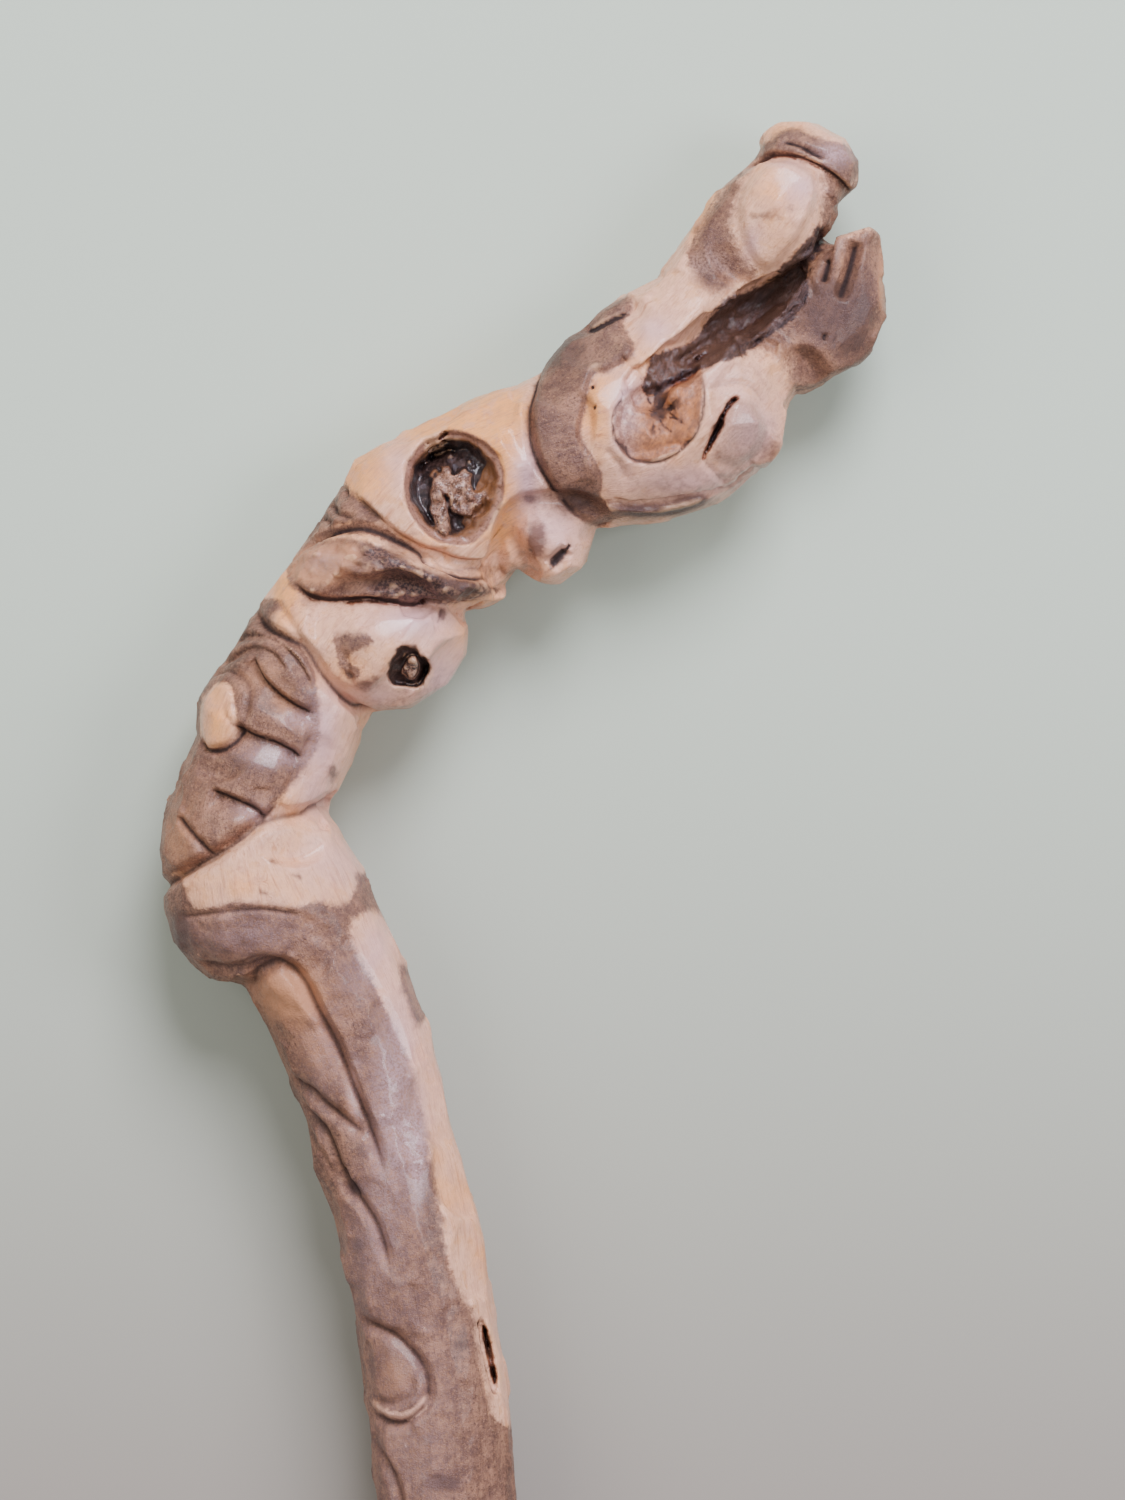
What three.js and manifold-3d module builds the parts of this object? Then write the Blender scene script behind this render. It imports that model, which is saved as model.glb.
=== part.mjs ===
// A bishop's crosier whittled from one forked branch and varnished over its bark colours.
// Millimetres. The staff lies on its side on z = 0: +Y runs from the foot up to the crook,
// +Z is the carved front. It is drawn with x = 0, y = 0 in the middle of the shaft where the
// carving starts, and moved at the end so that the origin is below the middle of its box.

import * as THREE from 'three';
import { mergeVertices } from 'three/addons/utils/BufferGeometryUtils.js';
import Module from 'manifold-3d';

const FOOT_Y = -1256;
const CROWN_Y = 275;
const FOOT_LIFT = 12;
const CROWN_LIFT = 22;

const TRUNK_SIDES = 20;
const PRONG_SIDES = 12;
const RING_GAP = 15;
const MAX_RINGS = 3;
const WASTE = 4000;
const FOOT_WASTE = 3;

// How many flats a ball has, round its middle and from pole to pole.
const FINE_BALL = [20, 12];
const COLLAR_BALL = [18, 12];
const COARSE_BALL = [12, 8];

// A cut is a wedge laid in steps. It stands CUT_LIFT above the skin, and is CUT_END of its
// full size where it runs out.
const CUT_STEP = 10;
const FEWEST_CUT_STEPS = 4;
const CUT_LIFT = 1.6;
const CUT_END = 0.15;
const FACET_BLOCK = 12;

const SAME_POINT = 1e-4;
const SKIN_STEP = 0.02;
const LEVEL_HALVINGS = 30;
const SLOPE_STEP = 1.5;
const ABOVE_ALL = 200;

// A station is the middle of the limb in x and y, then how far the wood reaches from there
// to the left, to the right and to the front and back.
const SHAFT = [
  [-6, FOOT_Y - FOOT_WASTE, 12.5, 12.5, 12.5],
  [-2, -900, 14, 14, 14],
  [6, -600, 15, 15, 15],
  [9, -300, 16, 16, 16],
  [5, -100, 16.6, 16.6, 16.5],
  [0, 0, 17.2, 17.4, 16.8],
  [-2, 25, 17.6, 17.4, 17],
  [-5.5, 50, 17.4, 16.6, 17],
  [-7.8, 62.5, 18, 17.4, 17.1],
  [-10.5, 75, 17.8, 16.6, 17.2],
  [-14, 87.5, 18.7, 16.2, 17.4],
  [-17.5, 100, 18, 17.2, 17.6],
  [-25.8, 122.5, 18.8, 18.5, 18.4],
  [-33, 138, 18.8, 19, 19],
  [-42.8, 160, 17, 17, 18],
];

const TORSO = [
  [-44.5, 128.2, 3, 3, 3],
  [-44.6, 130.4, 11, 11, 11],
  [-45, 134.5, 17, 17.5, 16.4],
  [-45.5, 141, 22, 22.5, 20.6],
  [-46, 150, 24, 25, 22.6],
  [-48, 161, 23.2, 22, 21.6],
  [-49.3, 168, 22, 20, 20.8],
  [-49.5, 173.8, 19, 19.8, 20.2],
  [-46, 183.8, 18, 20, 19.8],
  [-42.5, 191.2, 21, 20, 20],
  [-37.5, 201.2, 19.6, 18.8, 20],
  [-31, 212.5, 18.8, 19, 20],
  [-21.5, 225, 19.4, 19.5, 20],
  [-10.2, 237.5, 22, 21.4, 20.4],
  [-4.2, 244, 24, 23, 20.6],
  [2.2, 250, 21, 23, 20.4],
  [9.1, 254.8, 19.4, 23, 20],
  [16, 258.8, 18.4, 24.5, 19.8],
  [28.5, 263.8, 18, 22.4, 20],
  [40, 268.5, 22, 23, 21],
];

const PRONG = [
  [45, 272, 15, 15, 16],
  [54.8, 289.8, 15.4, 14, 14.5],
  [61, 297.5, 11.6, 15, 13],
  [67.3, 306.3, 11.4, 15, 12],
  [73.5, 315, 11.5, 15.5, 12],
  [79.5, 322.4, 11.1, 14.8, 12],
  [84.8, 328.8, 10, 14, 11.5],
  [88.6, 334, 9.6, 13, 10],
];

const EAR = [
  [66, 266, 10, 10, 14],
  [81, 281, 12, 7, 11],
  [88.8, 287.7, 12, 10.3, 9.5],
  [94.5, 295, 12, 13.5, 8.5],
  [98, 303, 10.5, 12.2, 7.6],
  [100.6, 310, 8, 8.2, 6.4],
  [101.6, 315.2, 6, 6, 4.8],
];

// The web of wood in the fork, low behind the crevice.
const WEB = [
  [56, 278, 12, 12, 12],
  [72, 292, 12, 12, 10],
  [84, 301, 10, 10, 8.5],
  [94, 311.5, 6, 6, 6],
];
const WEB_DROP = -5;

// A ball is its middle [x, y, height above the limb's own middle], its three radii and the
// turn of its first radius from +X, in degrees.
const BELLY = { middle: [-15, 214.5, 2.5], radii: [20.8, 17, 20], turn: 18 };
const BROW = { middle: [-11.8, 231.2, 0.5], radii: [26.4, 8, 24], turn: -9 };
const NUB = { middle: [26.6, 238.8, 2], radii: [9, 8.8, 11], turn: -20 };
const NAPE = { middle: [42.5, 276, 0], radii: [18.6, 20, 21], turn: 0 };
const CROWN = { middle: [54, 270.5, 0], radii: [32, 24.6, 23.2], turn: 24 };
const CHEEK = { middle: [76, 268.4, 7], radii: [8, 11, 9], turn: -8 };
const STUB = { middle: [83, 320.5, 6], radii: [10.5, 14, 8.6], turn: -12 };
const CAP = { middle: [90.6, 334, 0], radii: [12.8, 9.4, 11], turn: -24 };

const COLLAR_RISE = 1.8;
const COLLAR_LOW = -5;
const COLLAR_HIGH = 60;
const COLLAR = [
  [50, 304], [34, 300], [27, 289], [21, 280], [19, 267], [25, 253], [37, 241],
  [41, 249], [38.5, 258], [34, 267.5], [36, 278.5], [43.5, 281.5], [50, 292],
];

// A hollow is a ball taken out of the front, centred on the skin of the wood, and a heart
// is what is left standing of the dead branch inside it.
const HOLLOWS = [
  { at: [2.2, 252.5], radii: [12, 13.5, 9], turn: 10 },
  { at: [-8, 207.5], radii: [5, 4.8, 5], turn: 0 },
  { at: [51.5, 270], radii: [7, 5.5, 6.5], turn: 50 },
];
const HEARTS = [
  { at: [0.5, 250.5], drop: 9, radii: [5.4, 7, 4.4], turn: -20 },
  { at: [-8, 208], drop: 5.5, radii: [1.9, 2, 4], turn: 0 },
];

// A facet is one flat knife stroke: where it is, its size, how deep it goes below the skin,
// and how far it leans over towards +X and +Y, in degrees.
const FACETS = [
  { at: [2, 253], size: [40, 44], deep: 1.8, lean: [-4, 6] },
  { at: [-11, 216], size: [22, 12], deep: 1, lean: [0, 8] },
  { at: [78, 323], size: [16, 20], deep: 1.6, lean: [-10, 4] },
  { at: [87, 317], size: [16, 20], deep: 1.8, lean: [12, -6] },
  { at: [-55, 196], size: [12, 18], deep: 2, lean: [-8, -4] },
  { at: [70, 254], size: [18, 10], deep: 1.6, lean: [2, -14] },
  { at: [-30, 240], size: [16, 14], deep: 1.6, lean: [-10, 6] },
];

// Knife cuts on a limb: [level, angle] pairs, the level being the y of the limb's middle
// line and the angle going round the limb from the front, positive to the left.
const LEAF_CUTS = [
  {
    wide: 6,
    deep: 2.6,
    marks: [[132, 84], [138, 44], [136, 27], [128, 27], [114, 14], [96, 11], [76, 4]],
  },
  { wide: 5, deep: 1.8, marks: [[112, 76], [108, 54], [102, 39], [92, 12]] },
  { wide: 5, deep: 2, marks: [[106, 78], [98, 55], [83, 42], [72, 28], [58, 22]] },
  { wide: 6, deep: 1.5, marks: [[148, -4], [135, -21], [118, -34], [98, -27], [78, -22], [48, -27]] },
  { wide: 4.5, deep: 1.9, marks: [[50, 74], [43, 27], [34, 6], [27, 8], [22, 32], [25, 76]] },
  { wide: 5, deep: 1.8, marks: [[18, 76], [10, 50], [-8, 38], [-30, 24], [-52, 16]] },
  { wide: 5, deep: 1.6, marks: [[-14, -70], [-34, -48], [-58, -30], [-80, -24]] },
  { wide: 3.6, deep: 2.6, marks: [[45, -54], [34, -57], [25, -60]] },
];

const BACK_LEAF_CUTS = [
  { wide: 6, deep: 2.2, marks: [[138, 120], [134, 158], [118, 176], [92, 184], [70, 190]] },
  { wide: 5, deep: 1.6, marks: [[104, 110], [88, 140], [66, 156]] },
  { wide: 5, deep: 1.6, marks: [[52, -110], [36, -136], [14, -150], [-18, -160]] },
];

const PLATE_CUTS = [
  { wide: 12, deep: 3, skew: 0.8, marks: [[209, 118], [207, 66], [204, 35], [199, 6], [200, -24]] },
  { wide: 12, deep: 2.8, skew: 0.8, marks: [[188, 48], [190, 18], [190, -12], [187, -32]] },
  { wide: 11, deep: 2.6, skew: 0.8, marks: [[178, 48], [175, 20], [171, -16]] },
  { wide: 4, deep: 1.6, marks: [[176, 72], [171, 52], [163, 26]] },
  {
    wide: 5.5,
    deep: 2.2,
    marks: [[159, 150], [158, 92], [160, 55], [163, 24], [169, -10], [178, -55], [184, -110]],
  },
  { wide: 4, deep: 1.7, marks: [[212, 2], [202, -26], [194, -35], [186, -32], [171, -14]] },
  {
    wide: 6,
    deep: 2.6,
    marks: [[214, 118], [212, 62], [210, 14], [205, -18], [204, -44], [207, -92]],
  },
  { wide: 10, deep: 2.2, skew: 0.8, marks: [[197, 112], [194, 150], [196, 190]] },
];

const NECK_CUTS = [
  { wide: 4.5, deep: 2, marks: [[232, 112], [236, 64], [239, 8], [242, -24], [248, -84]] },
  { wide: 3.5, deep: 1.4, marks: [[240, 70], [243, 24], [244, -10], [249, -60]] },
  { wide: 5, deep: 2, marks: [[236, 176], [240, 216], [247, 250]] },
];

// Knife cuts on the head are drawn in x and y and let down onto the front or the back.
const HEAD_CUTS = [
  { wide: 4, deep: 2.2, marks: [[33, 300], [23.5, 283], [18.5, 267], [24, 251], [36, 240]] },
  { wide: 4, deep: 2, marks: [[44, 247], [54, 249], [64, 250.5], [75, 256]] },
  { wide: 3.4, deep: 1.5, marks: [[41.5, 265], [48.5, 258.8], [57, 259], [62.5, 265], [64, 275], [62, 283]] },
  { wide: 4, deep: 3.6, marks: [[74, 275], [70, 268], [66.5, 263], [62.5, 257]] },
  { wide: 3.6, deep: 2.2, marks: [[74, 334], [84, 338.4], [95, 334], [105, 325]] },
  { wide: 4, deep: 2.4, marks: [[93, 304], [94.5, 309], [95.5, 316]] },
  { wide: 5, deep: 3.4, marks: [[98, 298], [101, 306], [103.6, 318]] },
];
// The deep cleft in the fork, cut straight down.
const CREVICE = {
  wide: 9,
  deep: 12,
  upright: true,
  marks: [[46, 275], [58, 285], [72, 294], [86, 303], [96, 314], [101, 326]],
};
const BACK_HEAD_CUTS = [
  { wide: 4, deep: 2, marks: [[33, 300], [23.5, 283], [18.5, 267], [24, 251], [36, 240]] },
  { wide: 7, deep: 3.5, upright: true, marks: [[58, 286], [70, 293], [80, 299], [88, 304]] },
  { wide: 5, deep: 2.4, marks: [[76, 336], [86, 336], [98, 328]] },
];

const wasm = await Module();
wasm.setup();

function solid(geometry) {
  geometry.deleteAttribute('normal');
  geometry.deleteAttribute('uv');
  const merged = mergeVertices(geometry, SAME_POINT);
  return new wasm.Manifold(new wasm.Mesh({
    numProp: 3,
    vertProperties: new Float32Array(merged.attributes.position.array),
    triVerts: new Uint32Array(merged.index.array),
  }));
}

function meshGeometry(manifold) {
  const mesh = manifold.getMesh();
  const geometry = new THREE.BufferGeometry();
  geometry.setAttribute('position', new THREE.BufferAttribute(mesh.vertProperties, mesh.numProp));
  geometry.setIndex(new THREE.BufferAttribute(mesh.triVerts, 1));
  return geometry;
}

// The middle of the wood rises evenly from the foot to the crown, so that foot, heel and
// crown all touch the ground.
function lift(y) {
  return FOOT_LIFT + (CROWN_LIFT - FOOT_LIFT) * (y - FOOT_Y) / (CROWN_Y - FOOT_Y);
}

// Rings of points, given in order, closed with a fan over each end.
function tube(rings) {
  const sides = rings[0].length;
  const points = rings.flat();
  const faces = [];
  for (let ring = 0; ring < rings.length - 1; ring += 1) {
    for (let side = 0; side < sides; side += 1) {
      const a = ring * sides + side;
      const b = ring * sides + (side + 1) % sides;
      faces.push(a, b, b + sides, a, b + sides, a + sides);
    }
  }
  for (const [first, outward] of [[0, false], [(rings.length - 1) * sides, true]]) {
    const middle = new THREE.Vector3();
    for (let side = 0; side < sides; side += 1) {
      middle.addScaledVector(points[first + side], 1 / sides);
    }
    points.push(middle);
    for (let side = 0; side < sides; side += 1) {
      const edge = [first + side, first + (side + 1) % sides];
      faces.push(points.length - 1, ...(outward ? edge : edge.reverse()));
    }
  }
  const geometry = new THREE.BufferGeometry().setFromPoints(points);
  geometry.setIndex(faces);
  return solid(geometry);
}

class Limb {
  constructor(stations, rise = 0) {
    const middles = stations.map(([x, y]) => new THREE.Vector3(x, y, lift(y) + rise));
    const reaches = stations.map(([, , left, right, deep]) => new THREE.Vector3(left, right, deep));
    this.count = stations.length - 1;
    this.middle = new THREE.CatmullRomCurve3(middles);
    this.reach = new THREE.CatmullRomCurve3(reaches);
  }

  skin(t, angle) {
    const along = this.middle.getTangent(t);
    const left = new THREE.Vector3(-along.y, along.x, 0).normalize();
    const reach = this.reach.getPoint(t);
    const sideways = Math.sin(angle) * (Math.sin(angle) > 0 ? reach.x : reach.y);
    const point = this.middle.getPoint(t).addScaledVector(left, sideways);
    point.z += Math.cos(angle) * reach.z;
    return point;
  }

  outward(t, angle) {
    const round = this.skin(t, angle + SKIN_STEP).sub(this.skin(t, angle - SKIN_STEP));
    const low = Math.max(0, t - SKIN_STEP / this.count);
    const high = Math.min(1, t + SKIN_STEP / this.count);
    const along = this.skin(high, angle).sub(this.skin(low, angle));
    return along.cross(round).normalize();
  }

  atLevel(level) {
    let low = 0;
    let high = 1;
    for (let step = 0; step < LEVEL_HALVINGS; step += 1) {
      const t = (low + high) / 2;
      if (this.middle.getPoint(t).y < level) {
        low = t;
      } else {
        high = t;
      }
    }
    return low;
  }

  build(sides) {
    const rings = [];
    for (let station = 0; station < this.count; station += 1) {
      const from = station / this.count;
      const next = this.middle.getPoint(from + 1 / this.count);
      const span = this.middle.getPoint(from).distanceTo(next);
      const steps = Math.min(MAX_RINGS, Math.ceil(span / RING_GAP));
      for (let step = 0; step < steps; step += 1) {
        rings.push(this.ring(from + step / steps / this.count, sides));
      }
    }
    rings.push(this.ring(1, sides));
    return tube(rings);
  }

  ring(t, sides) {
    const points = [];
    for (let side = 0; side < sides; side += 1) {
      points.push(this.skin(t, -2 * Math.PI * side / sides));
    }
    return points;
  }
}

function ball({ middle: [x, y, rise], radii, turn }, [around, down], extra = 0) {
  const geometry = new THREE.SphereGeometry(1, around, down);
  geometry.scale(radii[0] + extra, radii[1] + extra, radii[2] + extra);
  geometry.rotateZ(THREE.MathUtils.degToRad(turn));
  geometry.translate(x, y, lift(y) + rise);
  return solid(geometry);
}

function block(size, middle) {
  const geometry = new THREE.BoxGeometry(size, size, size);
  geometry.translate(...middle);
  return solid(geometry);
}

function slab(outline, low, high) {
  const shape = new THREE.Shape(outline.map(([x, y]) => new THREE.Vector2(x, y)));
  const geometry = new THREE.ExtrudeGeometry(shape, { depth: high - low, bevelEnabled: false });
  geometry.translate(0, 0, low);
  return solid(geometry);
}

// Even steps along a smooth line through marks of any kind, as plain pairs.
function evenMarks(marks, length) {
  const line = new THREE.CatmullRomCurve3(marks.map(([a, b]) => new THREE.Vector3(a, b, 0)));
  const steps = Math.max(FEWEST_CUT_STEPS, Math.round(length / CUT_STEP));
  return line.getPoints(steps).map(({ x, y }) => [x, y]);
}

function lengthOf(points) {
  return points.slice(1).reduce((sum, point, i) => sum + point.distanceTo(points[i]), 0);
}

// A wedge drawn along the wood, deepest halfway and running out at both ends. The skew
// moves its deepest line to one side, which leaves a step like the edge of a scale.
function wedge(path, { wide, deep, skew = 0 }) {
  const rings = path.map(({ point, out }, i) => {
    const before = path[Math.max(0, i - 1)].point;
    const after = path[Math.min(path.length - 1, i + 1)].point;
    const along = after.clone().sub(before).normalize();
    const across = out.clone().cross(along).normalize();
    const fade = CUT_END + (1 - CUT_END) * Math.sqrt(Math.sin(Math.PI * (i + 0.5) / path.length));
    const half = wide / 2 * fade * (1 + CUT_LIFT / deep);
    const shift = skew * wide / 2 * fade;
    const top = point.clone().addScaledVector(out, CUT_LIFT);
    return [
      top.clone().addScaledVector(across, -half),
      point.clone().addScaledVector(across, shift).addScaledVector(out, -deep * fade),
      top.clone().addScaledVector(across, half),
    ];
  });
  return tube(rings);
}

function limbCut(limb, cut) {
  const place = ([level, angle]) => {
    const t = limb.atLevel(level);
    const turn = THREE.MathUtils.degToRad(angle);
    return { point: limb.skin(t, turn), out: limb.outward(t, turn) };
  };
  const rough = lengthOf(cut.marks.map((mark) => place(mark).point));
  return wedge(evenMarks(cut.marks, rough).map(place), cut);
}

// Lets points in x and y down onto the wood, from the front or the back.
class Surface {
  constructor(manifold, side) {
    this.side = side;
    this.mesh = new THREE.Mesh(meshGeometry(manifold), new THREE.MeshBasicMaterial());
    this.ray = new THREE.Raycaster();
  }

  height(x, y) {
    const start = new THREE.Vector3(x, y, this.side * ABOVE_ALL);
    this.ray.set(start, new THREE.Vector3(0, 0, -this.side));
    const hits = this.ray.intersectObject(this.mesh);
    return hits.length ? hits[0].point.z : null;
  }

  place(x, y) {
    const z = this.height(x, y) ?? lift(y);
    const slope = (dx, dy) => (this.height(x + dx, y + dy) ?? z) - (this.height(x - dx, y - dy) ?? z);
    const out = new THREE.Vector3(-slope(SLOPE_STEP, 0), -slope(0, SLOPE_STEP), 2 * SLOPE_STEP);
    return { point: new THREE.Vector3(x, y, z), out: out.multiplyScalar(this.side).normalize() };
  }
}

function headCut(surface, cut) {
  const rough = lengthOf(cut.marks.map(([x, y]) => new THREE.Vector3(x, y, 0)));
  const path = evenMarks(cut.marks, rough).map(([x, y]) => surface.place(x, y));
  if (cut.upright) {
    path.forEach(({ out }) => out.set(0, 0, surface.side));
  }
  return wedge(path, cut);
}

function skinBall(surface, { at: [x, y], radii, turn, drop = 0 }) {
  const rise = surface.height(x, y) - drop - lift(y);
  return ball({ middle: [x, y, rise], radii, turn }, COARSE_BALL);
}

function facet(surface, { at: [x, y], size: [width, height], deep, lean: [leanX, leanY] }) {
  const { point, out } = surface.place(x, y);
  const geometry = new THREE.BoxGeometry(width, height, FACET_BLOCK);
  geometry.translate(0, 0, FACET_BLOCK / 2 - deep);
  const { degToRad } = THREE.MathUtils;
  const turn = new THREE.Euler(-degToRad(leanY), degToRad(leanX), 0);
  const face = new THREE.Quaternion().setFromUnitVectors(new THREE.Vector3(0, 0, 1), out);
  geometry.applyQuaternion(new THREE.Quaternion().setFromEuler(turn));
  geometry.applyQuaternion(face);
  geometry.translate(point.x, point.y, point.z);
  return solid(geometry);
}

function crosier() {
  const shaft = new Limb(SHAFT);
  const torso = new Limb(TORSO);
  const prong = new Limb(PRONG);
  const ear = new Limb(EAR);
  const web = new Limb(WEB, WEB_DROP);
  const swellings = [CROWN, NAPE].map((lump) => ball(lump, COLLAR_BALL, COLLAR_RISE));
  const collar = swellings[0].add(swellings[1]).intersect(slab(COLLAR, COLLAR_LOW, COLLAR_HIGH));
  const branch = [
    shaft.build(TRUNK_SIDES),
    torso.build(TRUNK_SIDES),
    collar,
    ...[prong, ear, web].map((limb) => limb.build(PRONG_SIDES)),
    ...[NUB, CHEEK, STUB, CAP].map((lump) => ball(lump, COARSE_BALL)),
    ...[BELLY, BROW, CROWN].map((lump) => ball(lump, FINE_BALL)),
  ].reduce((wood, piece) => wood.add(piece));

  const front = new Surface(branch, 1);
  const back = new Surface(branch, -1);
  const cuts = [
    ...LEAF_CUTS.map((cut) => limbCut(shaft, cut)),
    ...BACK_LEAF_CUTS.map((cut) => limbCut(shaft, cut)),
    ...PLATE_CUTS.map((cut) => limbCut(torso, cut)),
    ...NECK_CUTS.map((cut) => limbCut(torso, cut)),
    ...HEAD_CUTS.map((cut) => headCut(front, cut)),
    headCut(front, CREVICE),
    ...BACK_HEAD_CUTS.map((cut) => headCut(back, cut)),
    ...FACETS.map((stroke) => facet(front, stroke)),
    ...HOLLOWS.map((place) => skinBall(front, place)),
  ];
  const hearts = HEARTS.map((place) => skinBall(front, place));
  const ground = block(WASTE, [0, 0, -WASTE / 2]);
  const belowFoot = block(WASTE, [0, FOOT_Y - WASTE / 2, 0]);

  const carved = cuts.reduce((wood, cut) => wood.subtract(cut), branch);
  const whole = hearts.reduce((wood, heart) => wood.add(heart), carved);
  return whole.subtract(ground).subtract(belowFoot);
}

const varnishedWood = new THREE.MeshStandardMaterial({
  color: new THREE.Color().setRGB(0.72, 0.57, 0.45, THREE.SRGBColorSpace),
  roughness: 0.35,
  metalness: 0,
});

const staffGeometry = meshGeometry(crosier());
staffGeometry.computeBoundingBox();
const { min, max } = staffGeometry.boundingBox;
staffGeometry.translate(-(min.x + max.x) / 2, -(min.y + max.y) / 2, 0);

const staff = new THREE.Mesh(staffGeometry, varnishedWood);
staff.name = 'staff';

const bishopCrosier = new THREE.Group();
bishopCrosier.add(staff);

export default bishopCrosier;
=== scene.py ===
import math
from collections import namedtuple
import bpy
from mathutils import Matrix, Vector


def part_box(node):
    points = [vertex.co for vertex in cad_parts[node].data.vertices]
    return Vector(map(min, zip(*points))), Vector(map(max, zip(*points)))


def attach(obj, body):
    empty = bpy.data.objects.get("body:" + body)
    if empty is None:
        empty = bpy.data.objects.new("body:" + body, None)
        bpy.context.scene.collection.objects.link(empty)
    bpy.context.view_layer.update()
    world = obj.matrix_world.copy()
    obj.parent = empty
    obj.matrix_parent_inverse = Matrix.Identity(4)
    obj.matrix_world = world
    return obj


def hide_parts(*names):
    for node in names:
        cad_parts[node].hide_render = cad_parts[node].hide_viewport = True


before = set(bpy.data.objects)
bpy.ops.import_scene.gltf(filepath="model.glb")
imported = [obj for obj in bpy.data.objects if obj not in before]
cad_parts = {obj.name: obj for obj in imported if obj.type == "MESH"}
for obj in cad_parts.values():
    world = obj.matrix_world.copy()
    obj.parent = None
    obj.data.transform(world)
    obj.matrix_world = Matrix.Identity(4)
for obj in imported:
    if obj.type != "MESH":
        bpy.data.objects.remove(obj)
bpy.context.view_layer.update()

from concurrent.futures import ThreadPoolExecutor

import bpy
import numpy as np
from bpy.props import FloatProperty, FloatVectorProperty, IntProperty, PointerProperty
from mathutils import Vector

bl_info = {
    "name": "Carved Crosier",
    "version": (1, 0, 0),
    "blender": (4, 5, 0),
    "location": "3D View > Sidebar > Crosier",
    "description": "Carves a crosier from one crooked branch, varnishes it and lays it on a pale floor",
    "category": "Object",
}

STAFF_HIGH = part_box("staff")[1]

# The carving is drawn in millimetres. x is 0 at the middle of the shaft where the carving
# ends, y runs from there to the tip, and z is the height over the floor.
MM = 1000.0
TIP_Y = 343.93
EAR_X = 109.31
SHIFT_X = STAFF_HIGH.x * MM - EAR_X
SHIFT_Y = STAFF_HIGH.y * MM - TIP_Y
STAFF_TOP = STAFF_HIGH.z * MM

# The foot of the shaft and the head, along the drawing, and how the middle line rises between them.
FOOT_Y = -1256.0
HEAD_Y = 275.0
FOOT_HEIGHT = 12.0
HEAD_RISE = 10.0

# Each station of a limb: x, y, half width to its left, half width to its right, half depth.
SHAFT = [
    (-6, -1259, 12.5, 12.5, 12.5), (-2, -900, 14, 14, 14), (6, -600, 15, 15, 15), (9, -300, 16, 16, 16),
    (5, -100, 16.6, 16.6, 16.5), (0, 0, 17.2, 17.4, 16.8), (-2, 25, 17.6, 17.4, 17),
    (-5.5, 50, 17.4, 16.6, 17), (-7.8, 62.5, 18, 17.4, 17.1), (-10.5, 75, 17.8, 16.6, 17.2),
    (-14, 87.5, 18.7, 16.2, 17.4), (-17.5, 100, 18, 17.2, 17.6), (-25.8, 122.5, 18.8, 18.5, 18.4),
    (-33, 138, 18.8, 19, 19), (-42.8, 160, 17, 17, 18),
]
TORSO = [
    (-44.5, 128.2, 3, 3, 3), (-44.6, 130.4, 11, 11, 11), (-45, 134.5, 17, 17.5, 16.4),
    (-45.5, 141, 22, 22.5, 20.6), (-46, 150, 24, 25, 22.6), (-48, 161, 23.2, 22, 21.6),
    (-49.3, 168, 22, 20, 20.8), (-49.5, 173.8, 19, 19.8, 20.2), (-46, 183.8, 18, 20, 19.8),
    (-42.5, 191.2, 21, 20, 20), (-37.5, 201.2, 19.6, 18.8, 20), (-31, 212.5, 18.8, 19, 20),
    (-21.5, 225, 19.4, 19.5, 20), (-10.2, 237.5, 22, 21.4, 20.4), (-4.2, 244, 24, 23, 20.6),
    (2.2, 250, 21, 23, 20.4), (9.1, 254.8, 19.4, 23, 20), (16, 258.8, 18.4, 24.5, 19.8),
    (28.5, 263.8, 18, 22.4, 20), (40, 268.5, 22, 23, 21),
]
PRONG = [
    (45, 272, 15, 15, 16), (54.8, 289.8, 15.4, 14, 14.5), (61, 297.5, 11.6, 15, 13),
    (67.3, 306.3, 11.4, 15, 12), (73.5, 315, 11.5, 15.5, 12), (79.5, 322.4, 11.1, 14.8, 12),
    (84.8, 328.8, 10, 14, 11.5), (88.6, 334, 9.6, 13, 10),
]
EAR = [
    (66, 266, 10, 10, 14), (81, 281, 12, 7, 11), (88.8, 287.7, 12, 10.3, 9.5), (94.5, 295, 12, 13.5, 8.5),
    (98, 303, 10.5, 12.2, 7.6), (100.6, 310, 8, 8.2, 6.4), (101.6, 315.2, 6, 6, 4.8),
]
# The thin wood that joins the two prongs, and how far it lies under the middle line.
WEB = [(56, 278, 12, 12, 12), (72, 292, 12, 12, 10), (84, 301, 10, 10, 8.5), (94, 311.5, 6, 6, 7)]
WEB_DROP = 5.0

# The crack between the two prongs, as a trough: its half widths and its depth under the skin.
CREVICE = [
    (47, 275, 2, 2, 3), (53.5, 281.5, 4.4, 4.2, 6), (61, 286.8, 5, 4.8, 9), (69, 292.6, 5.4, 5, 10),
    (77.2, 298.4, 5.4, 5, 9), (84.8, 304.2, 4.2, 4.2, 6), (89.6, 309.8, 2.6, 2.8, 3.5),
    (92.4, 313, 1.8, 2, 2), (94.4, 314.2, 1.2, 1.4, 2.5), (96.8, 315.8, 1.4, 1.6, 14),
    (99.6, 318, 2.2, 2.4, 18), (104, 321.4, 3.4, 4, 18),
]

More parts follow.
